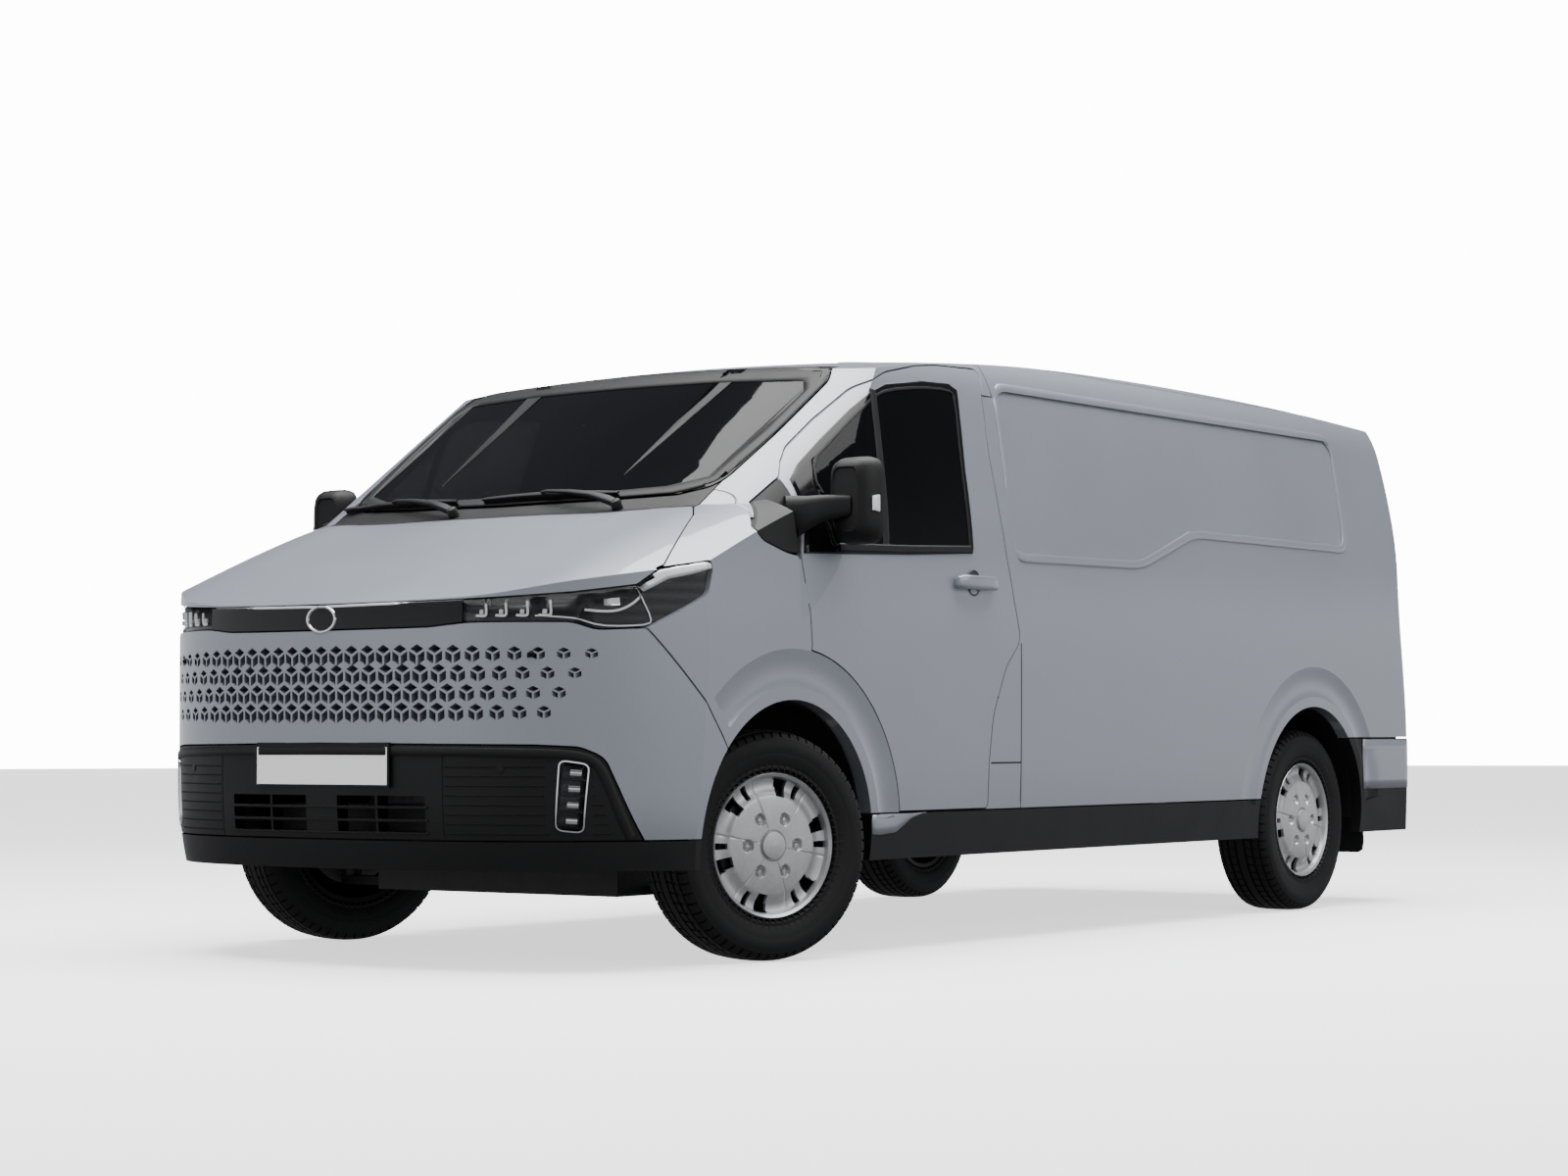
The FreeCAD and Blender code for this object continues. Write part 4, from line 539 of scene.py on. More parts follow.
def cover_mesh():
    """The cover as a dished shell with its openings left out."""
    corners, faces = [], []
    for radius in COVER_RADII:
        for step in range(COVER_STEPS):
            angle = 360 * step / COVER_STEPS
            turn = math.radians(angle)
            corners.append((radius * math.cos(turn), radius * math.sin(turn),
                            COVER_FACE - cover_height(radius, angle)))
    for i in range(len(COVER_RADII) - 1):
        for step in range(COVER_STEPS):
            after = (step + 1) % COVER_STEPS
            middle = 360 * (step + 0.5) / COVER_STEPS
            if not cover_open((COVER_RADII[i] + COVER_RADII[i + 1]) / 2, middle):
                a, b = i * COVER_STEPS + step, i * COVER_STEPS + after
                c, e = b + COVER_STEPS, a + COVER_STEPS
                faces.append((a, e, c, b) if i else (a, e, c))
    # The windows' edges turn inwards, as the moulding's walls do.
    edges = {}
    for face in faces:
        for k, corner in enumerate(face):
            pair = tuple(sorted((corner, face[(k + 1) % len(face)])))
            edges[pair] = edges.get(pair, []) + [(corner, face[(k + 1) % len(face)])]
    inner = {}
    for pair, uses in edges.items():
        if len(uses) == 1 and max(math.hypot(*corners[c][:2]) for c in pair) < COVER_EDGE - 0.0001:
            for corner in pair:
                if corner not in inner:
                    x, y, z = corners[corner]
                    inner[corner] = len(corners)
                    corners.append((x * 0.998, y * 0.998, z - COVER_WALL))
            a, b = uses[0]
            faces.append((b, a, inner[a], inner[b]))
    return corners, faces


def lathe(profile, steps):
    """Corners and faces of a profile of (radius, across) turned round local Z."""
    corners = [(r * math.cos(2 * math.pi * s / steps), r * math.sin(2 * math.pi * s / steps), z)
               for s in range(steps) for r, z in profile]
    return corners, ring_faces(steps, len(profile), closed=False)


silver = silver_lacquer_finish()
cover_shape = shared_mesh("wheel_cover", *cover_mesh(), silver, angle=24)
# Steel wheel behind the cover: barrel, drop centre and disc, then the brake disc.
steel_profile = [(0.219, 0.093), (0.2155, 0.0945), (0.2085, 0.091), (0.205, 0.078), (0.197, 0.066),
                 (0.190, 0.04), (0.186, 0.0), (0.186, -0.05), (0.197, -0.066), (0.205, -0.078),
                 (0.2085, -0.091), (0.219, -0.0935), (0.219, -0.095), (0.203, -0.092), (0.199, -0.078),
                 (0.18, -0.05), (0.18, 0.03), (0.165, 0.052), (0.12, 0.06), (0.075, 0.05), (0.06, 0.045),
                 (0.0, 0.045)]
disc_profile = [(0.0, -0.02), (0.075, -0.02), (0.08, -0.03), (0.09, -0.034), (0.158, -0.034),
                (0.16, -0.036), (0.16, -0.056), (0.158, -0.058), (0.06, -0.058)]
# The wheels' black dip coat has the trim's low sheen, over a coarser and flatter grain.
black_steel = grained_plastic_finish("black_dipped_wheel_steel", "#0D0D0E", "#1B1B1C", 14, 0.3, 0.42)


def turned_iron_finish():
    """Turned brake disc iron: grey metal, clouded where the pads have run."""
    finish, tree, place = new_finish("turned_disc_iron")
    wear = add(tree, "ShaderNodeTexNoise", {"Vector": place, "Scale": per_metre(5), "Detail": 4.0})
    tone = add(tree, "ShaderNodeMix", {0: wear.outputs["Fac"], 6: colour("#4C4B4A"), 7: colour("#6E6C69")},
               data_type="RGBA")
    shaded(tree, {"Base Color": tone.outputs[2], "Metallic": 1.0, "Roughness": 0.38})
    return finish


steel_mesh = shared_mesh("steel_wheel", *lathe(steel_profile, 72), black_steel)
disc_mesh = shared_mesh("brake_disc", *lathe(disc_profile, 72), turned_iron_finish())
for body, (centre, outward) in HUBS.items():
    spot = wheel_frame(centre, outward)
    cover = placed("cover_" + body, cover_shape, body, spot)
    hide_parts(body)
    placed("steel_" + body, steel_mesh, body, spot)
    placed("disc_" + body, disc_mesh, body, spot)

# Window surrounds.
# Black ceramic print and rubber round each door window and over the sail ahead
# of it, so that glass, pillar and mirror foot read as one dark shape.


def skin(*names):
    """The outside of some panels, for laying trim on."""
    corners, faces = [], []
    for name in names:
        mesh = frame["nodes"][name].data
        start = len(corners)
        corners += [vertex.co.copy() for vertex in mesh.vertices]
        faces += [[start + i for i in polygon.vertices] for polygon in mesh.polygons]
    return BVHTree.FromPolygons(corners, faces)


def dropped(tree, point, look):
    """Where a point first meets the panels along look, and the outward normal there."""
    look = Vector(look)
    spot, normal = tree.ray_cast(Vector(point) - look * 4, look)[:2]
    if spot is None:
        spot, normal = tree.find_nearest(Vector(point))[:2]
    return spot, normal if normal.dot(look) < 0 else -normal


def fine(line, step, closed=False):
    """A line's points, with more put in so that none are further apart than step."""
    made = []
    ends = line + [line[0]] if closed else line
    for a, b in zip(ends, ends[1:]):
        a, b = Vector(a), Vector(b)
        parts = max(1, math.ceil((b - a).length / step))
        made += [a.lerp(b, k / parts) for k in range(parts)]
    return made if closed else made + [Vector(ends[-1])]


def eased(line, rounds=2, closed=False):
    """The line with its corners cut off a few times, which rounds them."""
    for _ in range(rounds):
        made = [] if closed else [Vector(line[0])]
        pairs = list(zip(line, line[1:] + line[:1])) if closed else list(zip(line, line[1:]))
        for a, b in pairs:
            a, b = Vector(a), Vector(b)
            made += [a.lerp(b, 0.25), a.lerp(b, 0.75)]
        line = made if closed else made + [Vector(line[-1])]
    return line


def rounded(line, radius, closed=True):
    """The line with each corner replaced by a short curve that starts a radius away from it."""
    made = [] if closed else [Vector(line[0])]
    count = len(line)
    for i in range(count) if closed else range(1, count - 1):
        before, corner, after = Vector(line[i - 1]), Vector(line[i]), Vector(line[(i + 1) % count])
        a = corner.lerp(before, min(0.45, radius / (before - corner).length))
        b = corner.lerp(after, min(0.45, radius / (after - corner).length))
        made += [a.lerp(corner, t).lerp(corner.lerp(b, t), t) for t in (0, 0.25, 0.5, 0.75, 1)]
    return made if closed else made + [Vector(line[-1])]


def strip(name, line, tree, look, width, rise, finish, body, closed=False, step=0.02):
    """A low moulding along a line that is dropped on the panels: flat feet, rounded top."""
    spots = [dropped(tree, p, look) for p in fine(line, step, closed)]
    section = ((-0.5, -0.001), (-0.5, 0.5 * rise), (-0.34, rise), (0.34, rise), (0.5, 0.5 * rise),
               (0.5, -0.001))
    corners = []
    for i, (spot, normal) in enumerate(spots):
        before = spots[i - 1][0] if i or closed else spot
        after = spots[(i + 1) % len(spots)][0] if i + 1 < len(spots) or closed else spot
        across = normal.cross(after - before).normalized()
        corners += [spot + across * (width * side) + normal * up for side, up in section]
    faces = ring_faces(len(spots), len(section), wrap=closed)
    if not closed:
        last = len(corners) - len(section)
        faces += [tuple(range(len(section))), tuple(range(last + len(section) - 1, last - 1, -1))]
    return piece(name, corners, faces, finish, body)


def patch(name, outer, inner, tree, look, lift, finish, body, closed=True, across=6, step=0.03):
    """A thin skin between two lines of matching points, laid on the panels."""
    rows = []
    pairs = list(zip(outer, inner))
    ends = pairs + pairs[:1] if closed else pairs
    for (a, c), (b, e) in zip(ends, ends[1:]):
        a, b, c, e = Vector(a), Vector(b), Vector(c), Vector(e)
        parts = max(1, math.ceil((b - a).length / step))
        rows += [(a.lerp(b, k / parts), c.lerp(e, k / parts)) for k in range(parts)]
    if not closed:
        rows.append((Vector(outer[-1]), Vector(inner[-1])))
    corners = []
    for a, c in rows:
        for k in range(across + 1):
            spot, normal = dropped(tree, a.lerp(c, k / across), look)
            corners.append(spot + normal * lift)
    made = piece(name, corners, ring_faces(len(rows), across + 1, closed=False, wrap=closed), finish, body)
    shell = made.modifiers.new("thickness", "SOLIDIFY")
    shell.thickness, shell.offset = lift + 0.001, 0
    return made


FRONT_AXLE = 1.706


def side_line(points, side=1):
    """Side-view points in millimetres from the front axle, as points beside the vehicle."""
    return [Vector((FRONT_AXLE + x / 1000, side, z / 1000)) for x, z in points]


LEFT, RIGHT = (0, -1, 0), (0, 1, 0)
SURROUND_OUTER = ((-66, 1212), (-96, 1288), (-110, 1359), (-112, 1441), (-164, 1490), (-279, 1571),
                  (-443, 1680), (-547, 1742), (-649, 1778), (-863, 1806), (-1036, 1812), (-1076, 1794),
                  (-1016, 1531), (-977, 1268), (-970, 1250), (-600, 1230), (-212, 1215))
SURROUND_INNER = ((-206, 1244), (-199, 1300), (-191, 1350), (-196, 1430), (-222, 1507), (-291, 1554),
                  (-443, 1660), (-560, 1728), (-655, 1760), (-863, 1786), (-1026, 1792), (-1053, 1774),
                  (-996, 1531), (-959, 1275), (-954, 1265), (-600, 1253), (-222, 1239))
DIVIDER = ((-569, 1752), (-520, 1500), (-471, 1248))
WINDOW_SEAL = ((-222, 1236), (-600, 1247), (-958, 1262))
for end, side, look in (("left", 1, LEFT), ("right", -1, RIGHT)):
    door = "door_" + end
    door_skin = skin("door_" + end, "door_glass_" + end)
    band = patch("surround_" + end, side_line(SURROUND_OUTER, side), side_line(SURROUND_INNER, side),
                 door_skin, look, 0.0012, gloss_black, door)
    strip("divider_" + end, side_line(DIVIDER, side), door_skin, look, 0.034, 0.004, trim_plastic,
                  door)
    strip("waist_seal_" + end, side_line(WINDOW_SEAL, side), door_skin, look, 0.026, 0.007,
                  trim_plastic, door)
    strip("glass_run_" + end, eased(side_line(SURROUND_INNER, side), 1, True), door_skin, look,
                  0.010, 0.003, trim_plastic, door, closed=True)

# Windscreen edge.
# A black ceramic frit hides the adhesive round the laminated screen; it is
# about twice as broad along the top as along the foot.
FRIT_OUTER = ((0, 1384), (380, 1389), (620, 1398), (738, 1424), (764, 1600), (769, 1775), (742, 1832),
              (400, 1843), (0, 1846))
FRIT_INNER = ((0, 1410), (360, 1412), (570, 1422), (690, 1450), (722, 1600), (728, 1745), (690, 1785),
              (380, 1796), (0, 1798))
FRONT = (-1, 0, 0)


def front_line(points, side=1):
    """Front-view points in millimetres as points ahead of the vehicle."""
    return [Vector((2.0, side * y / 1000, z / 1000)) for y, z in points]


screen_skin = skin("windscreen")
frit_outer = front_line(FRIT_OUTER) + front_line(FRIT_OUTER[-2:0:-1], -1)
frit_inner = front_line(FRIT_INNER) + front_line(FRIT_INNER[-2:0:-1], -1)
patch("screen_frit", frit_outer, frit_inner, screen_skin, FRONT, 0.001, trim_plastic, "body",
              across=3, step=0.04)

# Swages and seams.
# Pressed beads in the side panels: one runs round the sunk load-space panel, and
# a scribed line and a short slot mark the sill panel's joint behind the door.
RECESS = ((-1222, 1249), (-2060, 1258), (-2480, 1389), (-3726, 1388), (-3824, 1838), (-1316, 1830))
SCRIBED = ((-1240, 968), (-1252, 430))
SLOT = ((-1064, 578), (-1246, 578))
for end, side, look in (("left", 1, LEFT), ("right", -1, RIGHT)):
    panel_skin = skin("body_side_" + end) if side > 0 else skin("body_side_" + end, "slide_door")
    bead = strip("load_panel_bead_" + end, rounded(side_line(RECESS, side), 0.07), panel_skin, look, 0.03,
                 0.005, enamel, "body", closed=True, step=0.04)
    sill_skin = skin("body_side_" + end)
    for name, line in (("scribed_line_", SCRIBED), ("sill_slot_", SLOT)):
        strip(name + end, side_line(line, side), sill_skin, look, 0.005, 0.0006, liner_plastic,
                      "body")

# Door handles.
# Pull handles in body-colour ABS, lacquered like the panels, over a dished cup drawn in mid grey plastic
# whose darkness is painted shade for its hollow; a short dark line on the panel marks one end of each bar.


def oval(centre, u, v, count=20, power=2.6):
    """A ring of corners round a centre: an ellipse that is squarer the higher its power."""
    corners = []
    for k in range(count):
        c, s = math.cos(2 * math.pi * k / count), math.sin(2 * math.pi * k / count)
        corners.append(Vector(centre) + Vector(u) * (math.copysign(abs(c) ** (2 / power), c))
                       + Vector(v) * (math.copysign(abs(s) ** (2 / power), s)))
    return corners


def loft(name, rings, finish, body):
    """A closed skin through rings of equal size, capped at both ends."""
    size = len(rings[0])
    corners = [corner for ring in rings for corner in ring]
    last = len(corners) - size
    faces = ring_faces(len(rings), size, wrap=False)
    faces += [tuple(range(size - 1, -1, -1)), tuple(range(last, last + size))]
    return piece(name, corners, faces, finish, body)


# The cup's mid grey is painted shade for its hollow; the same grey plastic serves the cab mirror for real.
# Its fine grain is 0.6 mm on the part and drawn at 3 mm.
grey_plastic_and_cup_shade = grained_plastic_finish("mid_grey_polypropylene_and_cup_shade", "#3A3C40", "#474A4F", 3, 0.2, 0.6)


# Half of the bar from its rear end to its middle, as (share of the length, height off the panel, tall, deep).
HANDLE_HALF = ((-0.5, 0.006, 0.010, 0.006), (-0.485, 0.013, 0.017, 0.010), (-0.42, 0.024, 0.022, 0.010),
               (-0.25, 0.030, 0.023, 0.008), (0, 0.033, 0.0235, 0.0075))


def handle(name, tree, x, z, look, body, length=0.205):
    """A pull handle whose bar stands 33 mm off the panel between two feet, over its cup."""
    out = -Vector(look)
    along = Vector((0, 0, 1)).cross(out)
    middle, normal = dropped(tree, (x, out.y, z), look)
    rings = []
    for share, stand, tall, deep in HANDLE_HALF + tuple((-row[0],) + row[1:] for row in HANDLE_HALF[-2::-1]):
        rings.append(oval(middle + along * (share * length) + out * stand, Vector((0, 0, tall)), out * deep))
    made = [loft("bar_" + name, rings, enamel, body)]
    cup = []
    for radius, rise in ((0.041, 0.0005), (0.039, 0.0035), (0.036, 0.0038), (0.033, 0.0015), (0.012, 0.0008)):
        cup.append(oval(middle + out * rise, along * radius, Vector((0, 0, radius * 1.07)), 28, 2.0))
    # The cup's grey is painted shade in the hollow behind the bar.
    made.append(loft("cup_" + name, cup, grey_plastic_and_cup_shade, body))
    made.append(strip("grip_line_" + name, [middle + along * (0.36 * length) + Vector((0, 0, t)) + out
                                            for t in (-0.013, 0.013)], tree, look, 0.003, 0.001,
                      liner_plastic, body))


for end, look in (("left", LEFT), ("right", RIGHT)):
    handle("front_" + end, skin("door_" + end), 0.747, 1.155, look, "door_" + end, 0.235)
handle("slide", skin("slide_door"), 0.30, 1.154, RIGHT, "body")

# Headlamps.
# Smoked polycarbonate lenses over a dark reflector housing: four small chromed
# blades inboard, the main beam beside them and a silver blade at the outer tip.


def clear_lens_finish():
    """Polycarbonate lens: nearly clear, hard and glossy, smoked towards grey."""
    finish, tree, place = new_finish("clear_polycarbonate")
    haze = add(tree, "ShaderNodeTexNoise", {"Vector": place, "Scale": per_metre(80), "Detail": 3.0})
    tone = add(tree, "ShaderNodeMix", {0: haze.outputs["Fac"], 6: colour("#2A2B2D"), 7: colour("#3A3B3D")},
               data_type="RGBA")
    gloss = add(tree, "ShaderNodeMapRange", {"Value": haze.outputs["Fac"], "To Min": 0.02, "To Max": 0.06})
    shaded(tree, {"Base Color": tone.outputs[2], "Roughness": gloss.outputs["Result"], "IOR": 1.58,
                  "Alpha": 0.14, "Coat Weight": 0.3, "Coat Roughness": 0.02})
    finish.surface_render_method = "BLENDED"
    return finish


def chrome_finish():
    """Vacuum-metallised ABS: mirror bright with a slight ripple."""
    finish, tree, place = new_finish("metallised_abs")
    ripple = add(tree, "ShaderNodeTexNoise", {"Vector": place, "Scale": per_metre(22), "Detail": 2.0})
    tone = add(tree, "ShaderNodeMix", {0: ripple.outputs["Fac"], 6: colour("#CDCECF"), 7: colour("#E4E4E4")},
               data_type="RGBA")
    rough = add(tree, "ShaderNodeMapRange", {"Value": ripple.outputs["Fac"], "To Min": 0.08, "To Max": 0.16})
    shaded(tree, {"Base Color": tone.outputs[2], "Metallic": 1.0, "Roughness": rough.outputs["Result"]})
    return finish


def satin_silver_finish():
    """Satin silver lacquer on trim: pale, even, softly reflecting."""
    finish, tree, place = new_finish("satin_silver_lacquer")
    grain = add(tree, "ShaderNodeTexNoise", {"Vector": place, "Scale": per_metre(4), "Detail": 3.0})
    tone = add(tree, "ShaderNodeMix", {0: grain.outputs["Fac"], 6: colour("#D9DADB"), 7: colour("#ECECED")},
               data_type="RGBA")
    shaded(tree, {"Base Color": tone.outputs[2], "Metallic": 0.35, "Roughness": 0.28})
    return finish


def smoked_housing_finish():
    """Reflector housing: dark grey ABS with fine vertical flutes that break up the light; along the flutes
    the ridges are painted lighter and the grooves darker, as painted highlight and shade.
    """
    finish, tree, place = new_finish("fluted_dark_abs")
    # Flutes 32 mm apart; a wave texture shows about 3.15 bands for each unit of its scale.
    flute_relief_and_shade = add(tree, "ShaderNodeTexWave", {"Vector": place, "Scale": per_metre(32) / 3.15,
                                             "Distortion": 0.0}, wave_type="BANDS", bands_direction="Z")
    # Ridges painted lighter and grooves darker along the flutes: painted highlight and painted shade.
    tone = add(tree, "ShaderNodeMix", {0: flute_relief_and_shade.outputs["Fac"], 6: colour("#141416"), 7: colour("#2B2C2E")},
               data_type="RGBA")
    bump = add(tree, "ShaderNodeBump", {"Height": flute_relief_and_shade.outputs["Fac"], "Strength": 0.4, "Distance": 0.001})
    shaded(tree, {"Base Color": tone.outputs[2], "Roughness": 0.3, "Metallic": 0.3,
                  "Normal": bump.outputs["Normal"]})
    return finish


def outer_faces(name, reach=0.25):
    """A model node's outside: the faces that look ahead or aside and have free space before them."""
    source = frame["nodes"][name].data
    shape = bmesh.new()
    shape.from_mesh(source)
    bmesh.ops.remove_doubles(shape, verts=shape.verts, dist=0.00002)
    shape.normal_update()
    tree = BVHTree.FromBMesh(shape)
    drop = []
    for face in shape.faces:
        middle, normal = face.calc_center_median(), face.normal
        out = Vector((1.0, math.copysign(0.6, middle.y), 0.25)).normalized()
        free = tree.ray_cast(middle + normal * 0.0005, normal, reach)[0] is None
        if normal.dot(out) < 0.12 or not free:
            drop.append(face)
    bmesh.ops.delete(shape, geom=drop, context="FACES")
    return shape


def made_skin(made):
    """The surface of a piece already made, for laying trim on."""
    return BVHTree.FromPolygons([vertex.co.copy() for vertex in made.data.vertices],
                                [list(polygon.vertices) for polygon in made.data.polygons])


def inlaid(name, node, depth, finish, body):
    """A copy of a node's outside, sunk by some depth, as lens or housing."""
    shape = outer_faces(node)
    for vertex in shape.verts:
        vertex.co -= vertex.normal * depth
    mesh = bpy.data.meshes.new(name)
    shape.to_mesh(mesh)
    shape.free()
    mesh.materials.append(finish)
    mesh.shade_smooth()
    mesh.set_sharp_from_angle(angle=math.radians(38))
    made = bpy.data.objects.new(name, mesh)
    bpy.context.scene.collection.objects.link(made)
    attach(made, body)
    return made


MAIN_BEAM = ((800, 1022), (842, 1017), (872, 1022), (897, 1046), (905, 1066))
PROJECTOR = ((838, 1044), (868, 1048))
LOWER_EDGE = ((690, 1006), (748, 1003), (786, 998), (830, 978), (880, 977), (921, 982), (924, 1000),
              (906, 1062), (902, 1082))
LAMP_DEPTH = 0.016
lens, chrome, satin_silver = clear_lens_finish(), chrome_finish(), satin_silver_finish()
lamp_lens = inlaid("lamp_lenses", "front_lamps", 0.0, lens, "body")
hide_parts("front_lamps")
lamp_back = inlaid("lamp_housings", "front_lamps", LAMP_DEPTH, smoked_housing_finish(), "body")
lamp_skin = made_skin(lamp_back)
lens_skin = skin("front_lamps")
for end, side, look in (("left", 1, LEFT), ("right", -1, RIGHT)):
    for index in range(4):
        y = 538 + 55 * index
        hook = ((y - 4, 1008), (y + 22, 1006), (y + 26, 1012), (y + 25, 1044 + 2 * index))
        strip("blade_%s_%d" % (end, index), eased(front_line(hook, side), 1), lamp_skin, FRONT,
                      0.010, 0.008, chrome, "body", step=0.008)
        glass_eye = ((y + 6, 1018), (y + 16, 1017))
        strip("eye_%s_%d" % (end, index), front_line(glass_eye, side), lamp_skin, FRONT, 0.014, 0.006,
                      satin_silver, "body", step=0.01)
    for name, line, rounds, width, rise, step in (("main_beam_", MAIN_BEAM, 2, 0.010, 0.009, 0.01),
                                                  ("projector_", PROJECTOR, 0, 0.026, 0.010, 0.01),
                                                  ("lower_edge_", LOWER_EDGE, 1, 0.006, 0.006, 0.012)):
        path = eased(front_line(line, side), rounds)
        strip(name + end, path, lamp_skin, FRONT, width, rise, chrome, "body", step=step)
    tip_outer = side_line(((652, 1092), (592, 1137), (520, 1152), (440, 1164)), side)
    tip_inner = side_line(((636, 1074), (572, 1112), (508, 1126), (436, 1146)), side)
    patch("silver_blade_" + end, tip_outer, tip_inner, lens_skin, look, 0.0015, satin_silver, "body",
                  closed=False, across=3)

# Light bar and disc.
# A gloss black bar joins the headlamps; a thin satin line runs along its top and
# a plain oval disc with a metallised rim is clipped on at its middle.
BAR_LINE = ((-492, 1053), (-250, 1046), (0, 1043), (250, 1046), (492, 1053))
bar_skin = skin("light_bar")
strip("bar_line", front_line(BAR_LINE), bar_skin, FRONT, 0.007, 0.002, satin_silver, "body",
              step=0.03)
disc_middle = dropped(bar_skin, (3.0, 0, 1.008), FRONT)[0]
# Each ring of the disc as (half width, height off the bar).
DISC_RIM = ((0.060, -0.012), (0.060, 0.001), (0.0575, 0.004), (0.0515, 0.004), (0.049, 0.001), (0.02, 0.001))
DISC_FACE = ((0.0492, 0.0005), (0.048, 0.0018), (0.02, 0.0026))
for name, steps, finish in (("plain_disc", DISC_RIM, chrome), ("plain_disc_face", DISC_FACE, gloss_black)):
    rings = [oval(disc_middle + Vector((rise, 0, 0)), (0, half, 0), (0, 0, half * 0.68), 40, 2.0)
             for half, rise in steps]
    loft(name, rings, finish, "body")

# Painted shade behind the perforated panel.
# A rough black board stands 62 mm behind the perforated nose panel's face as painted shade, so that the slots
# read as dark holes and nothing of the carrier shows through.
SHADE_BOARD_HEIGHTS = (0.69, 0.76, 0.83, 0.90, 0.94)
SHADE_BOARD_COLUMNS = 37
nose_skin = skin("front_panel")
shade_board_corners = []
for z in SHADE_BOARD_HEIGHTS:
    for k in range(SHADE_BOARD_COLUMNS):
        y = -0.90 + 0.05 * k
        spot = dropped(nose_skin, (3.5, y, z), FRONT)[0]
        shade_board_corners.append(Vector((spot.x - 0.062, y * 0.985, z)))
shade_board_faces = ring_faces(len(SHADE_BOARD_HEIGHTS), SHADE_BOARD_COLUMNS, closed=False, wrap=False)
# The board is painted shade: a dark sheet behind the slots.
piece("panel_shade_board", shade_board_corners, shade_board_faces, liner_plastic, "body")

# Front bumper details.
# The grained bumper has a smooth raised border, two upright joints, fine ribs on
# its outer thirds and a fog lamp in a metallised frame on each side.
BUMPER_BORDER = ((0, 626), (400, 625), (700, 620), (800, 613), (838, 592), (862, 520), (896, 382))
RIB_LOW = 392
# Places on the bumper round the fog lamp, as (height, inner edge, middle, outer edge) in millimetres.
FOG_ROWS = ((384, 722, 775, 826), (440, 724, 780, 830), (500, 728, 785, 833), (560, 731, 788, 834),
            (604, 734, 788, 828))
FOG_RING = ((744, 404), (804, 396), (820, 588), (756, 600))
bumper_skin = skin("bumper_front", "front_lamps")
for end, side in (("left", 1), ("right", -1)):
    strip("bumper_border_" + end, eased(front_line(BUMPER_BORDER, side), 2), bumper_skin, FRONT,
                  0.026, 0.005, trim_plastic, "body")
    strip("bumper_joint_" + end, front_line(((438, 380), (438, 612)), side), bumper_skin, FRONT,
                  0.004, 0.0007, liner_plastic, "body")
    for index in range(8):
        z = RIB_LOW + 27 * index
        outer_end = 842 - 0.1 * (z - RIB_LOW) + (16 if z < 500 else 0)
        for name, line in (("rib_", ((446, z), (728 if index == 0 else 722, z))),
                           ("outer_rib_", ((826, z), (outer_end, z)))):
            strip("%s%s_%d" % (name, end, index), front_line(line, side), bumper_skin, FRONT, 0.004,
                          0.0016, liner_plastic, "body")
    # The lamp's own even face, from points on the bumper round it, a little proud at its middle.
    plane = []
    for z, *across in FOG_ROWS:
        for y, lift in zip(across, (0.0, 0.001, 0.0)):
            spot = dropped(bumper_skin, (3.0, side * y / 1000, z / 1000), FRONT)[0]
            plane.append(spot + Vector((lift, 0, 0)))
    fog_face = BVHTree.FromPolygons(plane, ring_faces(len(FOG_ROWS), 3, closed=False, wrap=False))
    strip("fog_frame_" + end, rounded(front_line(FOG_RING, side), 0.018), fog_face, FRONT, 0.006,
                  0.005, chrome, "body", closed=True, step=0.012)
    for index in range(4):
        z = 432 + 45 * index
        lean = 0.085 * (z - 400)
        cell = front_line(((766 + lean, z - 2), (790 + lean, z - 4)), side)
        shelf = front_line(((750 + lean, z - 20), (800 + lean, z - 24)), side)
        strip("fog_cell_%s_%d" % (end, index), cell, fog_face, FRONT, 0.016, 0.003, chrome, "body",
                      step=0.01)
        strip("fog_shelf_%s_%d" % (end, index), shelf, fog_face, FRONT, 0.006, 0.004, gloss_black,
                      "body", step=0.01)
    for y in (250, 610):
        spot, normal = dropped(bumper_skin, (3.0, side * y / 1000, 0.575), FRONT)
        across = normal.cross(Vector((0, 0, 1))).normalized()
        eye = [oval(spot + normal * rise, across * half, Vector((0, 0, half)), 20, 2.0)
               for half, rise in ((0.012, 0.0), (0.0115, 0.0015), (0.006, 0.002))]
        loft("sensor_%s_%d" % (end, y), eye, trim_plastic, "body")
for index in range(3):
    z = 466 - 37 * index
    lip = front_line(((-388, z), (388, z)))
    strip("grille_lip_%d" % index, lip, bumper_skin, FRONT, 0.006, 0.004,
                  trim_plastic, "body", step=0.03)

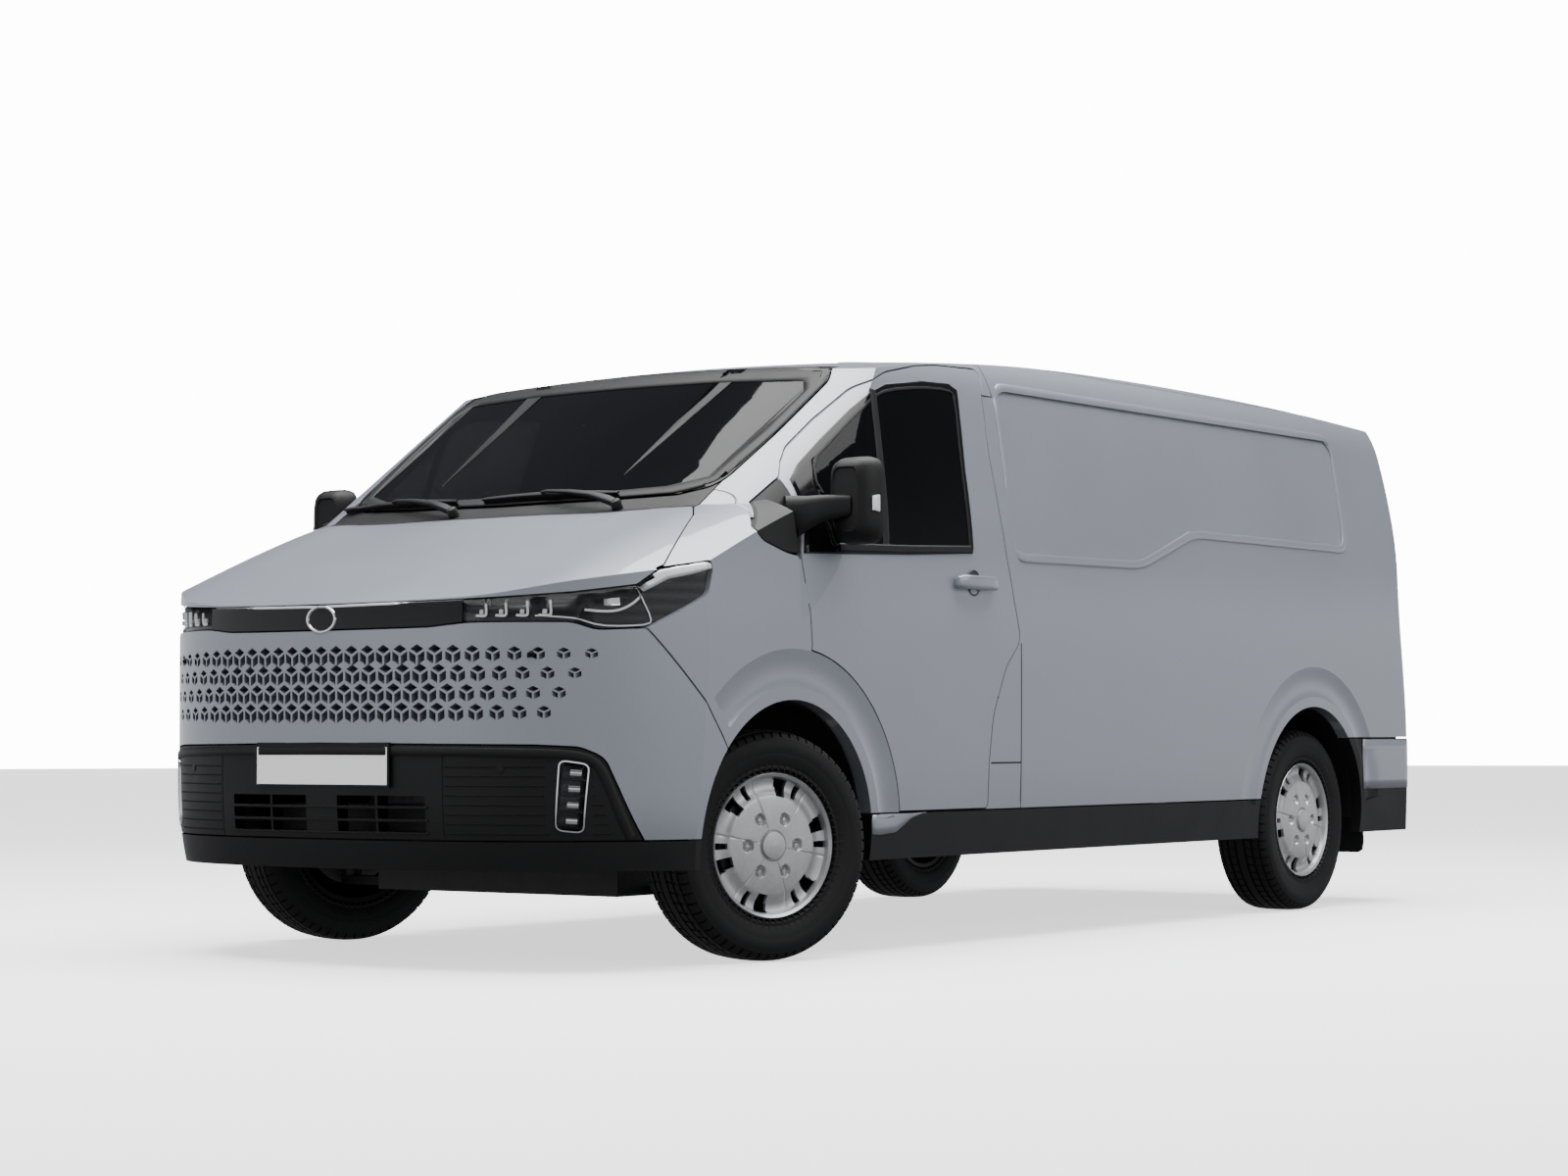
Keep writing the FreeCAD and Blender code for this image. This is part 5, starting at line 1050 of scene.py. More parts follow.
# Painted feet and corners.
# Behind each front wheel the wing's painted foot laps over the black sill, and
# the rear bumper's upper corners are painted covers clipped to the black step.
FOOT_TOP = ((-395, 428), (-450, 429), (-520, 430), (-600, 431), (-690, 431))
FOOT_LOW = ((-372, 366), (-440, 363), (-525, 369), (-606, 410), (-688, 429))
COVER_LIFT = 0.0015
CORNER_STEPS = 33
CORNER_HEIGHTS = (0.648, 0.61, 0.57, 0.53, 0.49, 0.455)
bumper_back = skin("rear_bumper")
sills = skin("lower_trims")
for end, side, look in (("left", 1, LEFT), ("right", -1, RIGHT)):
    patch("wing_foot_" + end, side_line(FOOT_TOP, side), side_line(FOOT_LOW, side), sills, look,
                  COVER_LIFT, enamel, "body", closed=False, across=3)
    rows = []
    for step in range(CORNER_STEPS):
        turn = math.radians(62 + 3.6 * step)
        out = Vector((math.cos(turn), side * math.sin(turn), 0))
        for z in CORNER_HEIGHTS:
            spot, normal = dropped(bumper_back, Vector((-2.30, side * 0.62, z)), -out)
            rows.append(spot + normal * COVER_LIFT)
    corner_faces = ring_faces(CORNER_STEPS, len(CORNER_HEIGHTS), closed=False, wrap=False)
    corner = piece("rear_corner_" + end, rows, corner_faces, enamel, "body")
    shell = corner.modifiers.new("thickness", "SOLIDIFY")
    shell.thickness, shell.offset = 0.002, 0

# A dark strip of liner plastic lies behind the joint between the side panels and the step, as painted shade
# in the gap.
GAP_SHADE_STEPS = 73
gap_shade_corners = []
for step in range(GAP_SHADE_STEPS):
    turn = math.radians(100 + 2.2 * step)
    spot = dropped(bumper_back, (-2.30, 0.0, 0.64), (-math.cos(turn), -math.sin(turn), 0))[0]
    gap_shade_corners += [Vector((spot.x + 0.03, spot.y * 0.968, z)) for z in (0.62, 0.69)]
piece("step_gap_shade", gap_shade_corners, ring_faces(GAP_SHADE_STEPS, 2, closed=False, wrap=False), liner_plastic, "body")

# Number plates.
# Blank white reflective sheet on an aluminium plate, in a thin black holder; the sheet has a faint painted
# glow.


def plate_finish():
    """Reflective sheet: bright white glass beads under acrylic, slightly pearly, with a faint painted glow
    though it is no lamp.
    """
    finish, tree, place = new_finish("white_plate_sheet_with_painted_glow")
    beads = add(tree, "ShaderNodeTexVoronoi", {"Vector": place, "Scale": per_metre(2.4)})
    tone = add(tree, "ShaderNodeMix", {0: beads.outputs["Distance"], 6: colour("#E6E6E5"),
                                       7: colour("#F4F4F3")}, data_type="RGBA")
    # The emission is a painted glow: the plate is no lamp.
    shaded(tree, {"Base Color": tone.outputs[2], "Roughness": 0.35, "Coat Weight": 0.4, "Coat Roughness": 0.1,
                  "Emission Color": colour("#FFFFFF"), "Emission Strength": 0.22})
    return finish


plate_white_with_glow = plate_finish()
dress(plate_white_with_glow, "number_plate")


plate_low, plate_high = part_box("number_plate")
# The frame's rings, as (how far past the plate's edge, height off its face).
frame_corners = []
for past, rise in ((0.006, -0.0045), (0.006, 0.0007), (-0.001, 0.0007), (-0.001, -0.0045)):
    frame_corners += [(plate_high.x + rise, a * (plate_high.y + past),
                       (plate_low.z + plate_high.z) / 2 + b * ((plate_high.z - plate_low.z) / 2 + past))
                      for a, b in ((-1, -1), (1, -1), (1, 1), (-1, 1))]
piece("front_plate_frame", frame_corners, ring_faces(4, 4), trim_plastic, "body", smooth=False)
clip = [[Vector((x, y, z)) for y, z in ((-0.262, 0.6375), (0.262, 0.6375), (0.262, 0.650), (-0.262, 0.650))]
        for x in (plate_high.x - 0.03, plate_high.x - 0.003)]
loft("plate_clip", clip, trim_plastic, "body")

# Door mirrors.
# A tall head in grained black ABS on a wing-shaped arm, with a white side
# repeater in its outer corner and silvered glass behind.


def mirror_glass_finish():
    """Silvered glass: a cold, nearly perfect reflection."""
    finish, tree, place = new_finish("silvered_glass")
    film = add(tree, "ShaderNodeTexNoise", {"Vector": place, "Scale": per_metre(120), "Detail": 2.0})
    tone = add(tree, "ShaderNodeMix", {0: film.outputs["Fac"], 6: colour("#B9BEC4"), 7: colour("#C9CDD2")},
               data_type="RGBA")
    shaded(tree, {"Base Color": tone.outputs[2], "Metallic": 1.0, "Roughness": 0.03})
    return finish


# Rings of the head from its glass forward: (x, y of middle, half width, half height, z of middle).
MIRROR_HEAD = ((1.462, 1.078, 0.071, 0.124, 1.374), (1.468, 1.078, 0.078, 0.131, 1.374),
               (1.490, 1.078, 0.080, 0.133, 1.374), (1.520, 1.076, 0.076, 0.129, 1.374),
               (1.543, 1.073, 0.066, 0.119, 1.375), (1.553, 1.070, 0.054, 0.105, 1.376),
               (1.556, 1.069, 0.048, 0.098, 1.376), (1.551, 1.069, 0.044, 0.094, 1.376))
# Rings of the arm from the door outwards: (x, y of middle, depth, half height, z of middle).
MIRROR_ARM = ((1.640, 0.905, 0.045, 0.070, 1.318), (1.632, 0.945, 0.045, 0.064, 1.322),
              (1.614, 0.975, 0.038, 0.052, 1.334), (1.594, 1.002, 0.030, 0.043, 1.345),
              (1.574, 1.030, 0.026, 0.038, 1.351), (1.556, 1.058, 0.023, 0.035, 1.354),
              (1.545, 1.078, 0.018, 0.032, 1.355))
mirror_glass = mirror_glass_finish()
for end, side in (("left", 1), ("right", -1)):
    door = "door_" + end
    rings = [oval((x, side * y, z), (0, -half_w * side, 0), (0, 0, half_h), 44, 4.2)
             for x, y, half_w, half_h, z in MIRROR_HEAD]
    head = loft("mirror_head_" + end, rings, trim_plastic, door)
    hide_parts("door_mirror_" + end)
    glass_rings = [oval((x, side * 1.082, 1.377), (0, -half_w * side, 0), (0, 0, half_h), 44, 4.2)
                   for x, half_w, half_h in ((1.4605, 0.0655, 0.1175), (1.463, 0.066, 0.118))]
    loft("mirror_glass_" + end, glass_rings, mirror_glass, door)
    arm = [oval((x, side * y, z), (deep * 0.7, side * deep * 0.7, 0), (0, 0, half_h), 20, 3.2)
           for x, y, deep, half_h, z in MIRROR_ARM]
    loft("mirror_arm_" + end, arm, trim_plastic, door)
    lamp = [oval((x, side * y, 1.362), (0, side * half_w, 0), (0, 0, half_h), 16, 5.0)
            for x, y, half_w, half_h in ((1.5025, 1.159, 0.002, 0.026), (1.515, 1.1565, 0.004, 0.0245),
                                         (1.5275, 1.1525, 0.003, 0.022))]
    loft("side_repeater_" + end, lamp, satin_silver, door)
    joint = [Vector((1.522, side * y, 1.472)) for y in (1.012, 1.05, 1.10, 1.148)]
    strip("mirror_joint_" + end, joint, made_skin(head), FRONT, 0.003, 0.0008, liner_plastic, door)

# Wipers.
# Two pressed steel arms in matt black with beam blades; each pivots from the
# cowl at its end nearer the driver's side and parks along the screen's foot.
# Rings of the arm from pivot to blade: (share of the way, half width, half height, height off the glass).
WIPER_ARM = ((0, 0.014, 0.011, 0.020), (0.1, 0.015, 0.011, 0.030), (0.3, 0.012, 0.008, 0.042),
             (0.6, 0.009, 0.0055, 0.042), (0.92, 0.007, 0.004, 0.034), (1, 0.006, 0.003, 0.028))
wiper_skin = skin("windscreen", "cowl", "bonnet", "cab_frame")


def wiper(name, low_y, high_y, pivot):
    """An arm, its pivot cap and a beam blade lying on the glass."""
    blade, rubber_edge = [], []
    for share in [k / 14 for k in range(15)]:
        y = low_y + (high_y - low_y) * share
        spot, normal = dropped(wiper_skin, (2.5, y, 1.392 + 0.006 * math.sin(math.pi * share)), FRONT)
        across = normal.cross(Vector((0, 1, 0))).normalized()
        slim = 0.35 + 0.65 * math.sin(math.pi * min(1, max(0, 0.04 + 0.92 * share))) ** 0.5
        blade.append(oval(spot + normal * 0.017, across * 0.010 * slim, normal * 0.007 * slim, 12, 3.0))
        rubber_edge.append(oval(spot + normal * 0.006, across * 0.002, normal * 0.005, 8, 4.0))
    made = [loft("blade_" + name, blade, trim_plastic, "body"),
            loft("edge_" + name, rubber_edge, rubber, "body")]
    foot, up = dropped(wiper_skin, (2.5, pivot, 1.352), FRONT)
    middle = dropped(wiper_skin, (2.5, low_y + (high_y - low_y) * 0.45, 1.396), FRONT)[0]
    level = up.cross(Vector((0, 1, 0))).normalized()
    arm = [oval(foot.lerp(middle, share) + up * lift, level * wide, up * tall, 12, 3.5)
           for share, wide, tall, lift in WIPER_ARM]
    made.append(loft("arm_" + name, arm, trim_plastic, "body"))
    cap = [oval(foot + up * rise, Vector((0, half, 0)), level * half, 20, 2.0)
           for half, rise in ((0.017, 0.0), (0.017, 0.024), (0.014, 0.031), (0.006, 0.034))]
    made.append(loft("pivot_" + name, cap, trim_plastic, "body"))
    return made


wiper_parts = wiper("right", -0.735, -0.19, -0.155) + wiper("left", -0.078, 0.44, 0.475)
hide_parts("wipers")

# Tail lamps.
# Tall upright lamps on the rear corners: deep red acrylic, crossed on the side
# by four short gloss black bars.


def red_lens_finish():
    """Red acrylic: dark and glassy, with a fine prism pattern inside."""
    finish, tree, place = new_finish("red_acrylic")
    prisms = add(tree, "ShaderNodeTexVoronoi", {"Vector": place, "Scale": per_metre(7)},
                 distance="CHEBYCHEV")
    tone = add(tree, "ShaderNodeMix", {0: prisms.outputs["Distance"], 6: colour("#55000A"),
                                       7: colour("#9C0614")}, data_type="RGBA")
    bump = add(tree, "ShaderNodeBump", {"Height": prisms.outputs["Distance"], "Strength": 0.15,
                                        "Distance": 0.0006})
    shaded(tree, {"Base Color": tone.outputs[2], "Roughness": 0.12, "IOR": 1.49, "Specular IOR Level": 0.3,
                  "Coat Weight": 0.2, "Coat Roughness": 0.02, "Normal": bump.outputs["Normal"]})
    return finish


red_lens = red_lens_finish()
dress(red_lens, "tail_lamps")
BACK = (1, 0, 0)


def back_line(points):
    """Rear-view points in millimetres as points behind the vehicle."""
    return [Vector((-2.6, y / 1000, z / 1000)) for y, z in points]


tail_skin = skin("tail_lamps")
for end, side, look in (("left", 1, LEFT), ("right", -1, RIGHT)):
    for index, z in enumerate((0.96, 1.10, 1.24, 1.38)):
        bar = [Vector((-2.60, side, z)), Vector((-2.535, side, z))]
        strip("lamp_bar_%s_%d" % (end, index), bar, tail_skin, look, 0.05, 0.0012, gloss_black,
                      "body", step=0.01)

# Rear doors.
# Two steel doors hung on outside hinges: pressed beads stiffen each skin, and a
# black handle and a blank plate with its lamp bar sit at hand height.
for end, side in (("left", 1), ("right", -1)):
    door = "rear_door_" + end
    door_skin = skin(door)
    for name, low, high, top_edge in (("upper", 1180, 1790, 680), ("lower", 730, 1110, 705)):
        bead = back_line([(side * y, z) for y, z in ((90, low), (700, low), (top_edge, high), (90, high))])
        strip("bead_%s_%s" % (name, end), rounded(bead, 0.07), door_skin, BACK, 0.028, 0.005, enamel,
                      door, closed=True, step=0.04)
plate_side = skin("rear_door_left")


def door_plaque(name, y, z, half_y, half_z, steps, finish):
    """A flat plate fixed to the rear door's slope; each step is a shrinkage and a height off it."""
    low, high = (dropped(plate_side, (-3.0, y, z + t * half_z), BACK)[0] for t in (-1, 1))
    rise = (high - low).normalized()
    out = rise.cross(Vector((0, 1, 0))).normalized()
    out = out if out.x < 0 else -out
    middle = low.lerp(high, 0.5)
    rings = [[middle + out * height + Vector((0, a * (half_y - less), 0)) + rise * (b * (half_z - less))
              for a, b in ((-1, -1), (-1, 1), (1, 1), (1, -1))] for less, height in steps]
    loft(name, rings, finish, "rear_door_left")


door_plaque("rear_plate", 0.395, 0.92, 0.26, 0.055, ((0, -0.002), (0, 0.009), (0.001, 0.010)), plate_white_with_glow)
door_plaque("rear_plate_holder", 0.395, 0.92, 0.266, 0.061, ((0, -0.004), (0, 0.006), (0.002, 0.008)),
            trim_plastic)
door_plaque("plate_lamp_bar", 0.395, 1.005, 0.19, 0.016, ((0, -0.004), (0.003, 0.022), (0.008, 0.028)),
            trim_plastic)
spot = dropped(skin("rear_door_right"), (-3.0, -0.11, 1.05), BACK)[0]
# The grip stands off its door between two feet: (height from its middle, height off the door).
REAR_GRIP = ((-0.11, 0.004), (-0.10, 0.022), (-0.06, 0.032), (0.06, 0.032), (0.10, 0.022), (0.11, 0.004))
grip = [oval(spot + Vector((-stand, 0, z)), (0, 0.014, 0), (-0.008, 0, 0), 16, 3.0) for z, stand in REAR_GRIP]
loft("rear_handle", grip, trim_plastic, "rear_door_right")
roof_skin = skin("roof")
high_lamp = back_line(((-150, 1905), (150, 1905)))
strip("high_brake_lamp", high_lamp, roof_skin, BACK, 0.022, 0.006, red_lens, "body")
tread = back_line(((-420, 560), (420, 560)))
strip("step_tread", tread, bumper_back, BACK, 0.09, 0.004, liner_plastic, "body", step=0.04)
for side in (1, -1):
    reflector = back_line(((side * 640, 410), (side * 820, 410)))
    strip("rear_reflector_%d" % (side + 1), reflector, bumper_back, BACK, 0.03, 0.003, red_lens,
                  "body")

# Roof.
# Four long shallow beads stiffen the roof skin, and a small fin in gloss black
# plastic at its back holds the aerial.
TOP = (0, 0, -1)
for y in (-0.42, -0.14, 0.14, 0.42):
    line = [Vector((x, y, 2.0)) for x in (-2.35, -1.2, 0.0, 0.62)]
    strip("roof_bead_%d" % round(y * 100 + 50), line, roof_skin, TOP, 0.06, 0.004, enamel, "body",
                  step=0.08)
fin_root = dropped(roof_skin, (-2.2, 0.0, 3.0), TOP)[0]
# Rings of the fin from its foot up: (half length, half width, height, how far back).
FIN_RINGS = ((0.085, 0.030, -0.003, 0.0), (0.082, 0.028, 0.006, 0.0), (0.062, 0.02, 0.018, -0.012),
             (0.036, 0.012, 0.028, -0.032), (0.016, 0.006, 0.034, -0.046))
fin = [oval(fin_root + Vector((back, 0, rise)), (long, 0, 0), (0, wide, 0), 20, 2.2)
       for long, wide, rise, back in FIN_RINGS]
loft("aerial_fin", fin, gloss_black, "body")

# Mud flaps.
# Moulded rubber flaps, 8 mm thick and slightly bowed, hang behind the rear
# wheels from the arch's rear edge.
# Rings from the top down, as (height, half width, x), and the section's corners as (share of it, depth).
FLAP_RINGS = ((0.52, 0.088, -2.105), (0.49, 0.096, -2.108), (0.36, 0.098, -2.120), (0.25, 0.096, -2.136),
              (0.215, 0.088, -2.141), (0.205, 0.07, -2.142))
FLAP_SECTION = ((-1, 0.004), (-0.5, 0.006), (0.5, 0.006), (1, 0.004), (1, -0.004), (0.5, -0.002),
                (-0.5, -0.002), (-1, -0.004))
for end, side in (("left", 1), ("right", -1)):
    rings = [[Vector((x + deep, side * (0.885 + share * half), z)) for share, deep in FLAP_SECTION]
             for z, half, x in FLAP_RINGS]
    loft("mud_flap_" + end, rings, rubber, "body")

# Cab seats.
# A driver's seat and a two-place bench: foam pads in woven polyester on steel
# plinths, each with its own head restraint on two chromed posts.


def seat_cloth_finish(name, dark, light):
    """Polyester cloth: charcoal, matt, with a soft sheen at the edges."""
    finish, tree, place = new_finish(name)
    # Threads lie 1.2 mm apart and are drawn at 10 mm.
    warp, weft = (add(tree, "ShaderNodeTexWave", {"Vector": place, "Scale": per_metre(10) / 3.15,
                                                  "Distortion": 0.6},
                      wave_type="BANDS", bands_direction=direction) for direction in ("Y", "DIAGONAL"))
    cross = add(tree, "ShaderNodeMath", {0: warp.outputs["Fac"], 1: weft.outputs["Fac"]},
                operation="MULTIPLY")
    tone = add(tree, "ShaderNodeMix", {0: cross.outputs["Value"], 6: colour(dark), 7: colour(light)},
               data_type="RGBA")
    bump = add(tree, "ShaderNodeBump", {"Height": cross.outputs["Value"], "Strength": 0.4,
                                        "Distance": 0.0008})
    shaded(tree, {"Base Color": tone.outputs[2], "Roughness": 0.92, "Normal": bump.outputs["Normal"],
                  "Sheen Weight": 0.25, "Sheen Roughness": 0.45})
    return finish


def pad_shape(centre, size, corner=0.035, around=40):
    """Corners and faces of a pillow-like block: rounded in plan, its edges drawn in."""
    x, y, z = (value / 2 for value in size)
    rings = []
    for share, inset in ((-1.0, corner), (-0.82, corner * 0.35), (-0.45, 0.0), (0.45, 0.0),
                         (0.82, corner * 0.35), (1.0, corner)):
        middle = Vector(centre) + Vector((0, 0, share * z))
        rings.append(oval(middle, (x - inset, 0, 0), (0, y - inset, 0), around, 5.5))
    corners = [spot for ring in rings for spot in ring]
    last = len(corners) - around
    faces = ring_faces(len(rings), around, wrap=False)
    faces += [tuple(range(around - 1, -1, -1)), tuple(range(last, last + around))]
    return corners, faces


def swollen(pad, cap):
    """Blows the pad up as stuffed cloth, lets no point move further than cap, and smooths it."""
    fine_grid = pad.modifiers.new("remesh", "REMESH")
    fine_grid.mode, fine_grid.voxel_size = "VOXEL", 0.014
    view_layer = bpy.context.view_layer
    for other in view_layer.objects:
        other.select_set(False)
    pad.select_set(True)
    view_layer.objects.active = pad
    bpy.ops.object.modifier_apply(modifier="remesh")
    before = [vertex.co.copy() for vertex in pad.data.vertices]
    cloth = pad.modifiers.new("cloth", "CLOTH")
    cloth.settings.use_pressure = True
    cloth.settings.uniform_pressure_force = 4.0
    cloth.settings.effector_weights.gravity = 0.0
    cloth.settings.quality = 4
    cloth.point_cache.frame_start, cloth.point_cache.frame_end = 1, 20
    for step in range(1, 21):
        bpy.context.scene.frame_set(step)
    bpy.ops.object.modifier_apply(modifier="cloth")
    bpy.context.scene.frame_set(1)
    for vertex, start in zip(pad.data.vertices, before):
        move = vertex.co - start
        if move.length > cap:
            vertex.co = start + move * (cap / move.length)
    soft = pad.modifiers.new("soft", "SUBSURF")
    soft.levels = soft.render_levels = 1
    bpy.ops.object.modifier_apply(modifier="soft")


def sewn(pad, lines, depth=0.006, width=0.009):
    """Presses sewn channels in: each is a plane given by a point on it and its normal."""
    fronts = [vertex.normal.copy() for vertex in pad.data.vertices]
    for vertex, front in zip(pad.data.vertices, fronts):
        sunk = max(math.exp(-(((vertex.co - Vector(spot)).dot(Vector(normal)) / width) ** 2))
                   for spot, normal in lines)
        vertex.co -= front * (depth * sunk)


centre_cloth = seat_cloth_finish("woven_polyester", "#1C1D1F", "#34363A")
side_cloth = seat_cloth_finish("knitted_polyester", "#141416", "#232427")


def seat_pad(name, centre, size, finish, lines):
    """One stuffed pad in its cover."""
    corners, faces = pad_shape(centre, [value - 0.016 for value in size])
    pad = piece(name, corners, faces, finish, "body")
    swollen(pad, 0.007)
    sewn(pad, lines)
    for polygon in pad.data.polygons:
        polygon.use_smooth = True
    return pad


def post(name, place, low, high):
    """A straight chromed steel post of a head restraint."""
    rings = [oval((place[0], place[1], z), (r, 0, 0), (0, r, 0), 12, 2.0)
             for z, r in ((low, 0.006), (low + 0.004, 0.0065), (high, 0.0065))]
    loft(name, rings, chrome, "body")


for name, y, wide in (("driver", 0.44, 0.48), ("middle", -0.085, 0.41), ("outer", -0.51, 0.42)):
    edges = [((0, y + wide * share, 0), (0, 1, 0)) for share in (-0.3, 0.3)]
    cushion_lines = edges + [((0.80 + 0.12 * k, 0, 0), (1, 0, 0)) for k in range(3)]
    seat_pad("cushion_" + name, (0.952, y, 0.812), (0.46, wide, 0.150), centre_cloth,
                               cushion_lines)
    back_lines = edges + [((0, 0, 1.02 + 0.12 * k), (0, 0, 1)) for k in range(3)]
    seat_pad("back_" + name, (0.641, y, 1.09), (0.118, wide, 0.40), centre_cloth,
                               back_lines)
    seat_pad("headrest_" + name, (0.641, y, 1.425), (0.100, 0.25, 0.155), side_cloth,
                               [((0.69, y, 1.425), (0, 0, 1))])
    for index, aside in enumerate((-0.06, 0.06)):
        post("post_%s_%d" % (name, index), (0.641, y + aside), 1.27, 1.37)
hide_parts("seats")

for name, y, wide in (("driver", 0.44, 0.44), ("bench", -0.30, 0.80)):
    # Each ring of the plinth is its height and half its length.
    rings = [[Vector((0.946 + a * long, y + b * wide / 2, z))
              for a, b in ((-1, -1), (1, -1), (1, 1), (-1, 1))]
             for z, long in ((0.476, 0.225), (0.49, 0.225), (0.70, 0.205), (0.735, 0.215))]
    plinth = loft("plinth_" + name, rings, trim_plastic, "body")
    bevel = plinth.modifiers.new("edges", "BEVEL")
    bevel.width, bevel.segments = 0.012, 3

# Dashboard.
# One grained moulding across the cab, with a hood over the driver's display, a
# second screen at the middle, slatted vents and the seam of the glove box.
cab_plastic = grained_plastic_finish("grained_cab_polypropylene", "#1A1B1D", "#25262A", 3, 0.3, 0.65)
dress(cab_plastic, "dashboard")
dash_skin = skin("dashboard")
CAB_BACK = (1, 0, 0)


def cab_line(points):
    """Points seen from the seats, in millimetres across and up."""
    return [Vector((1.2, y / 1000, z / 1000)) for y, z in points]


def slab(name, y, z, wide, tall, stand, finish):
    """A rounded panel on the dashboard's seat side."""
    spot = dropped(dash_skin, (0.9, y, z), CAB_BACK)[0]
    rings = [oval((spot.x - rise, y, z), (0, -half_w, 0), (0, 0, half_h), 32, 6.0)
             for half_w, half_h, rise in ((wide / 2, tall / 2, -0.012), (wide / 2, tall / 2, stand * 0.7),
                                          (wide / 2 - 0.004, tall / 2 - 0.004, stand))]
    loft(name, rings, finish, "body")


for name, y, z, wide, tall in (("driver_display", 0.44, 1.19, 0.27, 0.11),
                               ("centre_screen", 0.0, 1.17, 0.27, 0.16)):
    slab(name + "_frame", y, z, wide + 0.02, tall + 0.02, 0.014, cab_plastic)
    slab(name, y, z, wide, tall, 0.016, gloss_black)
for index, y in enumerate((-800, -240, 200, 800)):
    for slat in range(4):
        z = 1100 + 16 * slat
        strip("vent_%d_%d" % (index, slat), cab_line(((y - 55, z), (y + 55, z))), dash_skin, CAB_BACK,
                      0.009, 0.006, gloss_black, "body")
glove = cab_line(((-300, 905), (-780, 905), (-780, 1060), (-300, 1060)))
strip("glove_box_seam", rounded(glove, 0.03), dash_skin, CAB_BACK, 0.005, 0.001, liner_plastic,
              "body", closed=True)
for index, y in enumerate((-0.05, 0.0, 0.05)):
    slab("switch_%d" % index, y, 1.055, 0.035, 0.018, 0.006, gloss_black)

# The hood over the driver's display, and the mirror on its foot at the screen's top.
# Rings of the hood from the driver forward: (x, half width, height above its foot).
HOOD_RINGS = ((1.46, 0.15, 0.035), (1.50, 0.19, 0.062), (1.60, 0.22, 0.076), (1.70, 0.20, 0.072),
              (1.76, 0.12, 0.062))
hood = [[Vector((x, 0.44 + half * math.cos(turn), 1.2 + rise * math.sin(turn) ** 0.7))
         for turn in (math.pi * k / 16 for k in range(17))]
        for x, half, rise in HOOD_RINGS]
loft("display_hood", hood, cab_plastic, "body")
mirror_rings = [oval((x, 0, 1.672), (0, -wide, 0), (0, 0, tall), 32, 4.0)
                for x, wide, tall in ((1.150, 0.110, 0.028), (1.155, 0.125, 0.036), (1.170, 0.122, 0.034),
                                      (1.180, 0.090, 0.022))]
loft("cab_mirror", mirror_rings, grey_plastic_and_cup_shade, "body")
foot_rings = [oval((x, 0, z), (0, -wide, 0), (deep, 0, 0), 20, 3.0)
              for x, z, wide, deep in ((1.175, 1.66, 0.014, 0.012), (1.17, 1.72, 0.020, 0.014),
                                       (1.145, 1.775, 0.045, 0.03), (1.14, 1.79, 0.045, 0.03))]
loft("cab_mirror_foot", foot_rings, grey_plastic_and_cup_shade, "body")

# Steering wheel.
# A rim of polyurethane foam moulded round a metal core, with three spokes and a
# padded hub on the column; it stands still, as the model's own does.
WHEEL_MIDDLE = Vector((1.281, 0.44, 1.105))
SHAFT = Vector((math.cos(math.radians(25)), 0, -math.sin(math.radians(25))))
rim_across = Vector((0, 1, 0))
rim_up = SHAFT.cross(rim_across).normalized()
rim_corners = []
for step in range(72):
    turn = 2 * math.pi * step / 72
    out = rim_across * math.cos(turn) + rim_up * math.sin(turn)
    rim_corners += oval(WHEEL_MIDDLE + out * 0.182, out * 0.0135, SHAFT * 0.0165, 14, 2.0)
steering_rim = piece("steering_rim", rim_corners, ring_faces(72, 14), cab_plastic, "body")
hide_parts("steering_wheel")
hub_rings = [oval(WHEEL_MIDDLE + SHAFT * deep, rim_across * wide, rim_up * wide * 0.8, 36, 3.0)
             for deep, wide in ((-0.022, 0.045), (-0.016, 0.070), (-0.004, 0.080), (0.012, 0.078),
                                (0.05, 0.05))]
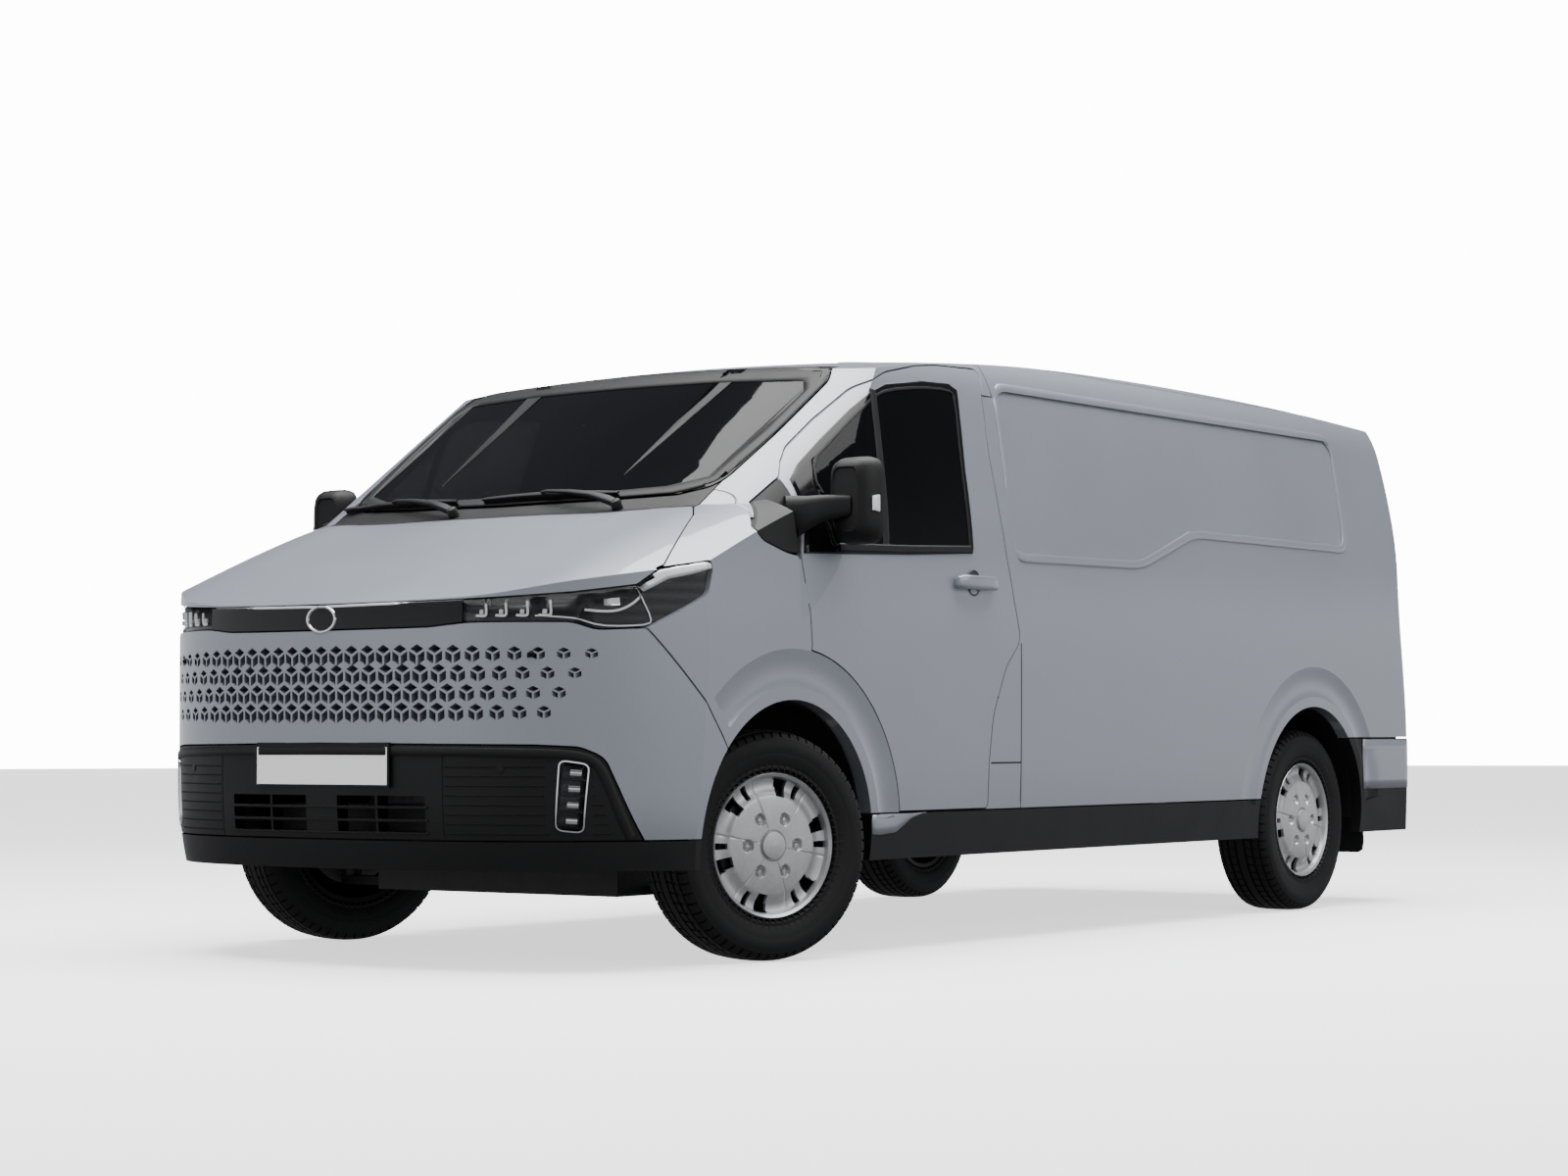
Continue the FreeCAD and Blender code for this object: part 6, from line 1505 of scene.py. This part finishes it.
steering_parts = [steering_rim, loft("steering_hub", hub_rings, cab_plastic, "body")]
for index, turn in enumerate((0, 180, 270 if rim_up.z > 0 else 90)):
    out = rim_across * math.cos(math.radians(turn)) + rim_up * math.sin(math.radians(turn))
    along = SHAFT.cross(out).normalized()
    spoke = [oval(WHEEL_MIDDLE + out * reach, along * wide, SHAFT * thick, 16, 3.0)
             for reach, wide, thick in ((0.06, 0.030, 0.010), (0.11, 0.020, 0.008), (0.178, 0.024, 0.009))]
    steering_parts.append(loft("steering_spoke_%d" % index, spoke, cab_plastic, "body"))
column = [oval(WHEEL_MIDDLE + SHAFT * deep, rim_across * wide, rim_up * wide, 24, 2.6)
          for deep, wide in ((0.045, 0.036), (0.06, 0.042), (0.155, 0.045))]
steering_parts.append(loft("steering_column", column, cab_plastic, "body"))

# Door linings.
# Moulded polypropylene cards clipped to the doors' inner skins, each with a
# padded armrest along its middle.
LINING_LOW = ((-600, 560), (-800, 500), (-1000, 500), (-1170, 520))
LINING_HIGH = ((-600, 1190), (-800, 1200), (-960, 1205), (-1050, 1205))
# Rings of the armrest from its rear end forward: (x, half height, how far it stands off the card).
ARMREST = ((0.62, 0.012, 0.012), (0.66, 0.024, 0.026), (0.80, 0.028, 0.032), (1.00, 0.028, 0.030),
           (1.10, 0.020, 0.018), (1.12, 0.010, 0.008))
# Inside a door, trim is dropped outwards from the middle of the cab.
for end, side, look in (("left", 1, RIGHT), ("right", -1, LEFT)):
    door = "door_" + end
    inner_skin = skin(door)
    low, high = ([Vector((p.x, side * 0.2, p.z)) for p in side_line(line)]
                 for line in (LINING_LOW, LINING_HIGH))
    patch("lining_" + end, low, high, inner_skin, look, 0.004, cab_plastic, door, closed=False,
                  across=10)
    rings = []
    for x, half_z, stand in ARMREST:
        spot, normal = dropped(inner_skin, (x, side * 0.2, 0.93), look)
        rings.append(oval(spot + normal * (stand * 0.6), normal * stand, (0, 0, half_z), 20, 3.0))
    loft("armrest_" + end, rings, cab_plastic, door)
